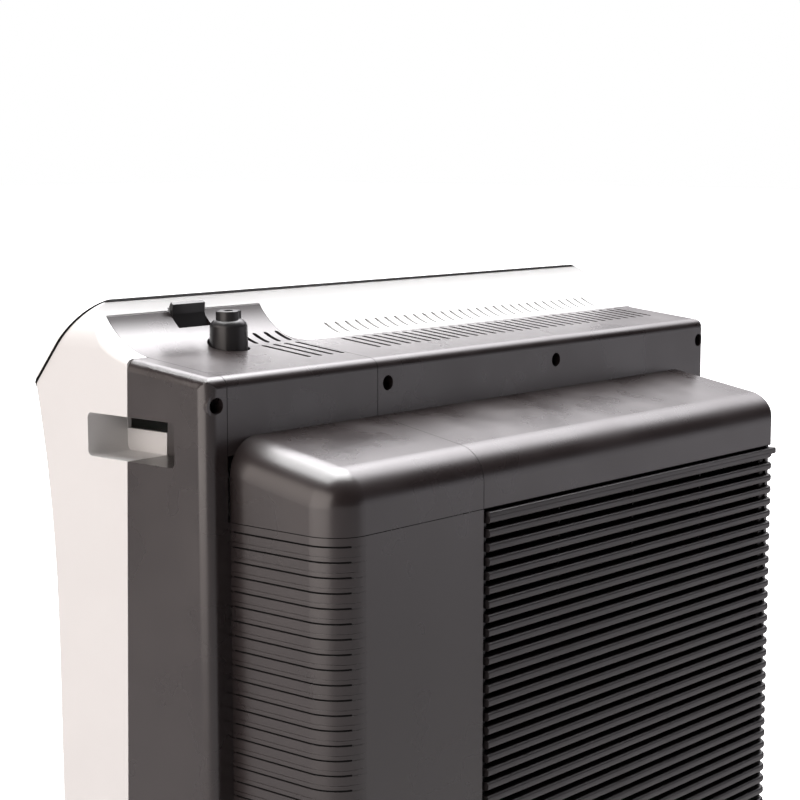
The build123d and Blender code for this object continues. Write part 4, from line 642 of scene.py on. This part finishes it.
# ------------------------------------------------------------------ joints and ribs
def swollen_joint(node, proud, swell, material):
    """The fascia's joint swollen into a bead that stands just proud of the mouldings."""
    sheet = bmesh.new()
    sheet.from_mesh(NODES[node].data)
    bmesh.ops.remove_doubles(sheet, verts=sheet.verts, dist=1e-6)
    depths = [(vert.co - SLOPE_MID).dot(SLOPE_OUT) for vert in sheet.verts]
    middle_depth = (min(depths) + max(depths)) / 2
    for vert, depth in zip(sheet.verts, depths):
        rim = Vector()
        for face in vert.link_faces:
            if abs(face.normal.dot(SLOPE_OUT)) < 0.9:
                rim += face.normal * face.calc_area()
        rim -= rim.dot(SLOPE_OUT) * SLOPE_OUT
        if rim.length > 1e-12:
            side = 1 if depth > middle_depth else -1
            vert.co += rim.normalized() * proud + side * swell * SLOPE_OUT
    return new_piece("fascia_bead", sheet, material)


def shadow_gap_filler(name, node, axis, at, gap, material):
    """Dark seal that fills the open joint beside one edge face of a moulding."""
    sheet = bmesh.new()
    sheet.from_mesh(NODES[node].data)
    bmesh.ops.remove_doubles(sheet, verts=sheet.verts, dist=1e-6)
    edge = {face for face in sheet.faces if abs(face.normal[axis]) > 0.99
            and abs(face.calc_center_median()[axis] - at) < 0.05 * MM}
    if not edge:
        raise RuntimeError(f"{node} has no edge face at {at}")
    bmesh.ops.delete(sheet, geom=[face for face in sheet.faces if face not in edge], context="FACES")
    grown = bmesh.ops.extrude_face_region(sheet, geom=sheet.faces[:], use_keep_orig=True)
    shift = Vector([gap if i == axis else 0 for i in range(3)])
    for item in grown["geom"]:
        if isinstance(item, bmesh.types.BMVert):
            item.co += shift
    return new_piece(name, sheet, material)


class CONCENTRATOR_OT_joints(Operator):
    """Seal the joints between the mouldings and lay the shadow lines of the ribbed panel"""

    bl_idname = "concentrator.joints"
    bl_label = "Joints and ribs"

    def execute(self, context):
        settings = context.scene.concentrator_louvre
        # matte black: the fascia's gasket bead, and painted shade that fills the open joints and the ribbed panel's
        # grooves
        dark = moulded("seal_black", (0.004, 0.004, 0.004), 0.8, mottle=0.2, edge=0, specular=0.1)
        bead = swollen_joint("fascia_gasket", settings.bead, settings.bead * 0.8, dark)
        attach(bead, "housing")
        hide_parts("fascia_gasket")

        panel_low, panel_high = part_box("corner_panel")
        cap_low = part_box("rear_cap_corner")[0]
        main_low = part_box("rear_cap_main")[0]
        gap = settings.joint
        # each open joint gets a black strip of painted shade, one gap wide, grown out from the moulding's edge face
        for name, node, axis, at, width, body in (
                ("seal_near", "corner_panel", 0, panel_high.x, gap, "corner_cover"),
                ("seal_far", "corner_panel", 0, panel_low.x, -gap, "corner_cover"),
                ("seal_cap_side", "rear_cap_corner", 0, cap_low.x, -gap, "corner_cover"),
                ("seal_cap_corner", "rear_cap_corner", 2, cap_low.z, -gap, "corner_cover"),
                ("seal_cap_main", "rear_cap_main", 2, main_low.z, -gap, "housing")):
            seal = shadow_gap_filler(name, node, axis, at, width, dark)
            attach(seal, body)

        # shadow lines at the bottom of the ribbed panel's grooves
        low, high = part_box("ribbed_panel")
        inner_x = high.x - settings.rib_depth
        centre = (inner_x - BOX_CORNER, high.y - BOX_CORNER)
        line = [(inner_x, low.y + 2 * MM)] + arc(BOX_CORNER, 0, RIB_TURN, 18, centre)
        top = high.z - RIB_DROP
        points = [(x - settings.rib_line / 2, y, top) for x, y in line]
        path = points_mesh("rib_path", points, [(i, i + 1) for i in range(len(points) - 1)])
        lines = grow("rib_shadow_lines", path, slat_tree(), dark, Pitch=settings.pitch,
                     Count=int((top - low.z) // settings.pitch), Height=settings.rib_line, Depth=settings.rib_line,
                     Nose=0.0, Corner=0.0)
        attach(lines, "housing")
        return {"FINISHED"}


# ------------------------------------------------------------------ screws and other repeated heads
def copies_tree():
    """One modelled form set on each point of a mesh."""
    tree, entry, leave = new_tree("set_on_points", Form="Object", Turn="Vector", Material="Material")
    new, link = tree.nodes.new, tree.links.new
    form = add(tree, "GeometryNodeObjectInfo", transform_space="ORIGINAL")
    link(entry.outputs["Form"], form.inputs["Object"])
    copies = new("GeometryNodeInstanceOnPoints")
    link(entry.outputs["Geometry"], copies.inputs["Points"])
    link(form.outputs["Geometry"], copies.inputs["Instance"])
    link(entry.outputs["Turn"], copies.inputs["Rotation"])
    return realised(tree, copies, entry, leave)


def screw_head(settings, shank):
    """Pan head with a cross recess and a stub of shank under it."""
    r, h = settings.head, settings.dome
    sheet = bmesh.new()
    turned(sheet, [(0, h), (0.45 * r, 0.96 * h), (0.74 * r, 0.8 * h), (0.92 * r, 0.52 * h), (r, 0.2 * h),
                   (r, 0), (1.6 * MM, 0), (1.6 * MM, -shank), (0, -shank)], Matrix.Identity(4))
    mesh = bpy.data.meshes.new("screw_form")
    bmesh.ops.recalc_face_normals(sheet, faces=sheet.faces)
    sheet.to_mesh(mesh)
    sheet.free()
    tool = bmesh.new()
    for turn in (0, math.pi / 2):
        place = Matrix.Rotation(turn, 4, "Z") @ Matrix.Translation((0, 0, h)) @ Matrix.Diagonal(
            (1.15 * r, 0.3 * r, 2 * settings.recess, 1))
        bmesh.ops.create_cube(tool, size=1.0, matrix=place)
    cutter_mesh = bpy.data.meshes.new("screw_recess")
    tool.to_mesh(cutter_mesh)
    tool.free()
    form = bpy.data.objects.new("screw_form", mesh)
    cutter = bpy.data.objects.new("screw_recess", cutter_mesh)
    for thing in (form, cutter):
        bpy.context.scene.collection.objects.link(thing)
    cut = form.modifiers.new("recess", "BOOLEAN")
    cut.operation, cut.object, cut.use_self = "DIFFERENCE", cutter, True
    graph = bpy.context.evaluated_depsgraph_get()
    result = bpy.data.meshes.new_from_object(form.evaluated_get(graph))
    form.modifiers.remove(cut)
    form.data = result
    bpy.data.objects.remove(cutter)
    return form


def set_on_points(name, form, points, turn, material):
    piece = grow(name, points_mesh(name + "_points", points), copies_tree(), material, Form=form, Turn=turn)
    bpy.data.objects.remove(form)
    return piece


class CONCENTRATOR_OT_screws(Operator):
    """Set the cover screws in their wells"""

    bl_idname = "concentrator.screws"
    bl_label = "Screws"

    def execute(self, context):
        settings = context.scene.concentrator_screws
        low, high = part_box("cover_screws")
        seat = high.y - 2.4 * MM
        shank = seat - low.y
        near_x, top_z = high.x - HEAD_R, high.z - HEAD_R
        points = [(near_x - (side - WELLS[0][0]) * MM, seat, top_z - drop * MM) for side, drop in WELLS]
        piece = set_on_points("cover_screw_heads", screw_head(settings, shank), points,
                              (-math.pi / 2, 0.0, 0.0), screw_finish())
        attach(piece, "housing")
        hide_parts("cover_screws")
        return {"FINISHED"}


class CONCENTRATOR_OT_outlet(Operator):
    """Ridge the oxygen outlet's barb and back it with a hexagonal nut face"""

    bl_idname = "concentrator.outlet"
    bl_label = "Outlet"

    def execute(self, context):
        low, high = OUTLET_LOW, OUTLET_HIGH
        x, z = middle(low.x, high.x), middle(low.z, high.z)
        finish = knob_finish()
        sheet = bmesh.new()
        r = BARB_R * MM
        turned(sheet, [(r - 0.3 * MM, 1.5 * MM), (r + 0.55 * MM, 1.5 * MM), (r + 0.5 * MM, 1.1 * MM),
                       (r - 0.1 * MM, -2.2 * MM), (r - 0.3 * MM, -2.2 * MM), (r - 0.3 * MM, 1.5 * MM)],
               Matrix.Identity(4), 40)
        form = bpy.data.objects.new("barb_form", bpy.data.meshes.new("barb_form"))
        sheet.to_mesh(form.data)
        sheet.free()
        context.scene.collection.objects.link(form)
        points = [(x, low.y + (BARB_FIRST + BARB_STEP * i) * MM, z) for i in range(BARB_COUNT)]
        ridges = set_on_points("outlet_barb_ridges", form, points, (-math.pi / 2, 0.0, 0.0), finish)
        sheet = bmesh.new()
        base = low.y + BARB_LEN * MM
        turned(sheet, [(0, 0), (7.4 * MM, 0), (7.4 * MM, 0.8 * MM), (6.6 * MM, 2.6 * MM), (4.4 * MM, 3.0 * MM),
                       (r, 3.0 * MM), (r, 2.0 * MM), (0, 2.0 * MM)],
               Matrix.Translation((x, base, z)) @ Matrix.Rotation(math.pi / 2, 4, "X"), 6)
        nut = new_piece("outlet_nut", sheet, finish)
        for piece in (ridges, nut):
            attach(piece, "housing")
        return {"FINISHED"}


# ------------------------------------------------------------------ printed marks and lamps
def slope_place(x, up, proud):
    """A point on the control fascia: x along it, up the slope, proud of its face."""
    return SLOPE_MID + Vector((x, 0, 0)) + up * SLOPE_UP + proud * SLOPE_OUT


def ribbon(sheet, points, width, height, place):
    """A raised line of ink through points given in the plane of a face."""
    half = width / 2
    sides = []
    for i, (px, py) in enumerate(points):
        ax, ay = points[max(i - 1, 0)]
        bx, by = points[min(i + 1, len(points) - 1)]
        length = math.hypot(bx - ax, by - ay)
        nx, ny = -(by - ay) / length * half, (bx - ax) / length * half
        sides.append([sheet.verts.new(place(px + s * nx, py + s * ny, h)) for s, h in
                      ((1, 0), (1, height), (-1, height), (-1, 0))])
    for first, second in zip(sides, sides[1:]):
        for i in range(4):
            j = (i + 1) % 4
            sheet.faces.new((first[i], first[j], second[j], second[i]))
    sheet.faces.new(sides[0][::-1])
    sheet.faces.new(sides[-1])


def arc(radius, start, end, steps=20, centre=(0, 0)):
    return [(centre[0] + radius * math.cos(a), centre[1] + radius * math.sin(a)) for a in
            (math.radians(start + (end - start) * i / steps) for i in range(steps + 1))]


def symbol_lines(kind, size):
    """Generic symbols as lists of lines: a power ring, a crossed bell, a minus and a plus."""
    s = size
    if kind == "power_button":
        return [arc(s, 130, 410), [(0, 0.25 * s), (0, 1.25 * s)]]
    if kind == "alarm_mute_button":
        bell = [(-s, -0.6 * s), (-0.75 * s, -0.2 * s)] + arc(0.62 * s, 180, 0, 14, (0, 0.25 * s)) + \
            [(0.75 * s, -0.2 * s), (s, -0.6 * s), (-s, -0.6 * s)]
        return [bell, arc(0.3 * s, 200, 340, 8, (0, -0.62 * s)), [(-s, -s), (s, s)]]
    if kind == "timer_down_button":
        return [[(-s, 0), (s, 0)]]
    return [[(-s, 0), (s, 0)], [(0, -s), (0, s)]]


def segments(digit, width, height):
    """The lit strokes of a seven-segment figure, in its own plane."""
    w, h = width / 2, height / 2
    g = 0.09 * height
    strokes = {"a": [(-w + g, h), (w - g, h)], "b": [(w, h - g), (w, g)], "c": [(w, -g), (w, -h + g)],
               "d": [(-w + g, -h), (w - g, -h)], "e": [(-w, -g), (-w, -h + g)], "f": [(-w, h - g), (-w, g)],
               "g": [(-w + g, 0), (w - g, 0)]}
    lit = {"0": "abcdef", "2": "abged", "5": "afgcd"}[digit]
    return [strokes[key] for key in lit]


class CONCENTRATOR_OT_marks(Operator):
    """Print the buttons' symbols, light the display's figures and set the lamps"""

    bl_idname = "concentrator.marks"
    bl_label = "Marks"

    def execute(self, context):
        settings = context.scene.concentrator_marks
        ink = moulded("printed_ink", tuple(settings.print_colour), 0.5, grain=0.0003, relief=0.000004, mottle=0.08,
                      edge=0)
        lit = lamp("display_figures", (0.15, 0.85, 0.45), 1.6)
        green, amber = lamp("lamp_green", (0.08, 0.6, 0.16), 0.7), lamp("lamp_amber", (0.75, 0.35, 0.03), 0.12)

        for node in ("power_button", "alarm_mute_button", "timer_down_button", "timer_up_button"):
            low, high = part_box(node)
            x = middle(low.x, high.x)
            radius = (high.x - low.x) / 2 - FLANGE_LIP
            sheet = bmesh.new()
            for line in symbol_lines(node, 0.42 * radius):
                ribbon(sheet, line, settings.stroke, INK_HEIGHT,
                       lambda u, v, h: slope_place(x + u, v, BUTTON_PROUD + h - 0.01 * MM))
            mark = new_piece(node + "_symbol", sheet, ink)
            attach(mark, node)

        sheet = bmesh.new()
        for offset, digit in ((-FIGURE_STEP, "2"), (0.0, "5")):
            for line in segments(digit, settings.digit_height * 0.55, settings.digit_height):
                ribbon(sheet, line, STROKE_LIT, INK_HEIGHT,
                       lambda u, v, h, o=offset: slope_place(o + u, v, h - 0.1 * MM))
        ribbon(sheet, [(-9.2 * MM, -7.4 * MM), (-7.6 * MM, -7.4 * MM)], STROKE_LIT, INK_HEIGHT,
               lambda u, v, h: slope_place(u, v, h - 0.1 * MM))
        figures = new_piece("display_figures", sheet, lit)
        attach(figures, "housing")

        for name, x, finish in (("lamp_power", -137.5 * MM, green), ("lamp_alarm", -98 * MM, amber),
                                ("lamp_oxygen", -82 * MM, green)):
            sheet = bmesh.new()
            place = Matrix.Translation(slope_place(x, 0, -0.4 * MM)) @ SLOPE_OUT.to_track_quat(
                "Z", "Y").to_matrix().to_4x4()
            turned(sheet, [(0, 1.0 * MM), (0.9 * MM, 0.92 * MM), (1.6 * MM, 0.66 * MM), (LAMP_R, 0.3 * MM),
                           (LAMP_R, 0), (0, 0)], place, 28)
            piece = new_piece(name, sheet, finish)
            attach(piece, "housing")
        return {"FINISHED"}


class CONCENTRATOR_OT_mains(Operator):
    """Set the mains inlet's two flange screws"""

    bl_idname = "concentrator.mains"
    bl_label = "Mains group"

    def execute(self, context):
        seat, z = INLET_HIGH.y - INLET_SCREW_SINK, middle(INLET_LOW.z, INLET_HIGH.z)
        points = [(x, seat, z) for x in (INLET_LOW.x + INLET_SCREW_INSET, INLET_HIGH.x - INLET_SCREW_INSET)]
        form = screw_head(context.scene.concentrator_screws, 0.4 * MM)
        piece = set_on_points("inlet_screw_heads", form, points, (-math.pi / 2, 0.0, math.radians(20)),
                              screw_finish())
        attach(piece, "housing")
        return {"FINISHED"}


# ------------------------------------------------------------------ studio
def aim(thing, direction):
    thing.rotation_euler = Vector(direction).to_track_quat("-Z", "Y").to_euler()


def soft_box(name, place, target, size, power, colour=(1, 1, 1)):
    light = bpy.data.lights.new(name, "AREA")
    light.shape = "RECTANGLE"
    light.size, light.size_y = size
    light.energy = power
    light.color = colour
    thing = bpy.data.objects.new(name, light)
    thing.location = place
    aim(thing, Vector(target) - Vector(place))
    bpy.context.scene.collection.objects.link(thing)
    return thing


def white_surround(settings):
    """A white surround that lights the piece mostly from behind, like a lit backdrop in a dark room."""
    world = bpy.data.worlds.new("white_surround")
    world.use_nodes = True
    tree = world.node_tree
    seen = tree.nodes["Background"]
    seen.inputs["Color"].default_value = (1, 1, 1, 1)
    seen.inputs["Strength"].default_value = settings.sky
    place = add(tree, "ShaderNodeTexCoord")
    level = add(tree, "ShaderNodeVectorMath", operation="MULTIPLY")
    level.inputs[1].default_value = (1, 1, 0)
    tree.links.new(place.outputs["Generated"], level.inputs[0])
    heading = add(tree, "ShaderNodeVectorMath", operation="NORMALIZE")
    tree.links.new(level.outputs["Vector"], heading.inputs[0])
    rise = add(tree, "ShaderNodeSeparateXYZ")
    tree.links.new(place.outputs["Generated"], rise.inputs["Vector"])
    panels = []
    for turn, edges, power, heights in (
            (settings.backdrop_turn, BACKDROP_EDGES, settings.backdrop, BACKDROP_RISE),
            (settings.crown_turn, CROWN_EDGES, settings.crown, CROWN_RISE)):
        facing = add(tree, "ShaderNodeVectorMath", operation="DOT_PRODUCT")
        facing.inputs[1].default_value = (math.cos(math.radians(turn)), math.sin(math.radians(turn)), 0)
        tree.links.new(heading.outputs["Vector"], facing.inputs[0])
        panels.append(math_node(tree, "MULTIPLY", spread(tree, rise.outputs["Z"], 0, power, *heights),
                                spread(tree, facing.outputs["Value"], 0, 1, *edges)))
    strength = math_node(tree, "ADD", *panels)
    lit = add(tree, "ShaderNodeBackground")
    lit.inputs["Color"].default_value = (0.98, 0.95, 0.98, 1)
    tree.links.new(math_node(tree, "ADD", strength, settings.room), lit.inputs["Strength"])
    path = add(tree, "ShaderNodeLightPath")
    mix = add(tree, "ShaderNodeMixShader")
    tree.links.new(path.outputs["Is Camera Ray"], mix.inputs["Fac"])
    tree.links.new(lit.outputs["Background"], mix.inputs[1])
    tree.links.new(seen.outputs["Background"], mix.inputs[2])
    tree.links.new(mix.outputs["Shader"], tree.nodes["World Output"].inputs["Surface"])
    return world


@finish_maker
def floor_paper(tree, shader, place, colour):
    """Pale paper, lit to white where it is seen and dull where it is only mirrored."""
    cloud = noise(tree, place, 1.5, 3.0)
    tree.links.new(blend_colours(tree, cloud.outputs["Fac"], scaled(colour, 0.985), colour),
                   shader.inputs["Base Color"])
    tune(shader, Roughness=0.9, Specular_IOR_Level=0.1, Emission_Color=(1, 1, 1, 1), Emission_Strength=0.8)
    dull = add(tree, "ShaderNodeBsdfDiffuse")
    dull.inputs["Color"].default_value = (0.30, 0.29, 0.29, 1)
    path = add(tree, "ShaderNodeLightPath")
    mix = add(tree, "ShaderNodeMixShader")
    tree.links.new(path.outputs["Is Camera Ray"], mix.inputs["Fac"])
    tree.links.new(dull.outputs["BSDF"], mix.inputs[1])
    tree.links.new(shader.outputs["BSDF"], mix.inputs[2])
    tree.links.new(mix.outputs["Shader"], tree.nodes["Material Output"].inputs["Surface"])


class CONCENTRATOR_OT_studio(Operator):
    """Pale floor, white surround, soft lights and the camera"""

    bl_idname = "concentrator.studio"
    bl_label = "Studio"

    def execute(self, context):
        settings = context.scene.concentrator_studio
        scene = context.scene
        scene.world = white_surround(settings)
        scene.view_settings.view_transform = "Standard"

        mesh = bpy.data.meshes.new("studio_floor")
        sheet = bmesh.new()
        bmesh.ops.create_grid(sheet, x_segments=24, y_segments=24, size=30.0)
        sheet.to_mesh(mesh)
        sheet.free()
        floor = bpy.data.objects.new("studio_floor", mesh)
        scene.collection.objects.link(floor)
        mesh.materials.append(floor_paper("floor_paper", tuple(settings.floor_colour)))

        soft_box("wall_of_light_side", (2.15, -0.25, 0.95), LIGHT_TARGET, (2.8, 1.9), settings.side_power,
                 (1.0, 0.90, 0.85))
        soft_box("wall_of_light_rear", (-1.7, 1.6, 0.30), LIGHT_TARGET, (2.4, 0.9), settings.rear_power,
                 (0.97, 0.93, 1.0))
        soft_box("overhead", (-0.1, -0.3, 2.3), LIGHT_TARGET, (2.2, 1.6), settings.top_power)

        camera = bpy.data.cameras.new("studio_camera")
        camera.lens, camera.sensor_width = settings.lens, 36.0
        thing = bpy.data.objects.new("studio_camera", camera)
        thing.location = settings.camera_place
        aim(thing, settings.camera_aim)
        scene.collection.objects.link(thing)
        scene.camera = thing
        return {"FINISHED"}


# ------------------------------------------------------------------ panel and registration
class CONCENTRATOR_PT_build(Panel):
    """Settings and steps, in the order in which they are run"""

    bl_label = "Concentrator"
    bl_idname = "CONCENTRATOR_PT_build"
    bl_space_type = "VIEW_3D"
    bl_region_type = "UI"
    bl_category = "Concentrator"

    def draw(self, context):
        for group, _, steps in SETTINGS:
            column = self.layout.column(align=True)
            settings = getattr(context.scene, group)
            for name in settings.__annotations__:
                column.prop(settings, name)
            for step in steps:
                column.operator(step.bl_idname)


SETTINGS = (
    ("concentrator_finish", FinishSettings, (CONCENTRATOR_OT_finishes,)),
    ("concentrator_louvre", LouvreSettings, (CONCENTRATOR_OT_louvre, CONCENTRATOR_OT_joints)),
    ("concentrator_screws", ScrewSettings, (CONCENTRATOR_OT_screws, CONCENTRATOR_OT_outlet,
                                            CONCENTRATOR_OT_mains)),
    ("concentrator_marks", MarkSettings, (CONCENTRATOR_OT_marks,)),
    ("concentrator_studio", StudioSettings, (CONCENTRATOR_OT_studio,)),
)


def register():
    for group, settings, steps in SETTINGS:
        bpy.utils.register_class(settings)
        setattr(bpy.types.Scene, group, PointerProperty(type=settings))
        for step in steps:
            bpy.utils.register_class(step)
    bpy.utils.register_class(CONCENTRATOR_PT_build)


def unregister():
    bpy.utils.unregister_class(CONCENTRATOR_PT_build)
    for group, settings, steps in reversed(SETTINGS):
        for step in steps:
            bpy.utils.unregister_class(step)
        delattr(bpy.types.Scene, group)
        bpy.utils.unregister_class(settings)


def main():
    register()
    for _, _, steps in SETTINGS:
        for step in steps:
            area, name = step.bl_idname.split(".")
            getattr(getattr(bpy.ops, area), name)()


if __name__ == "__main__":
    main()
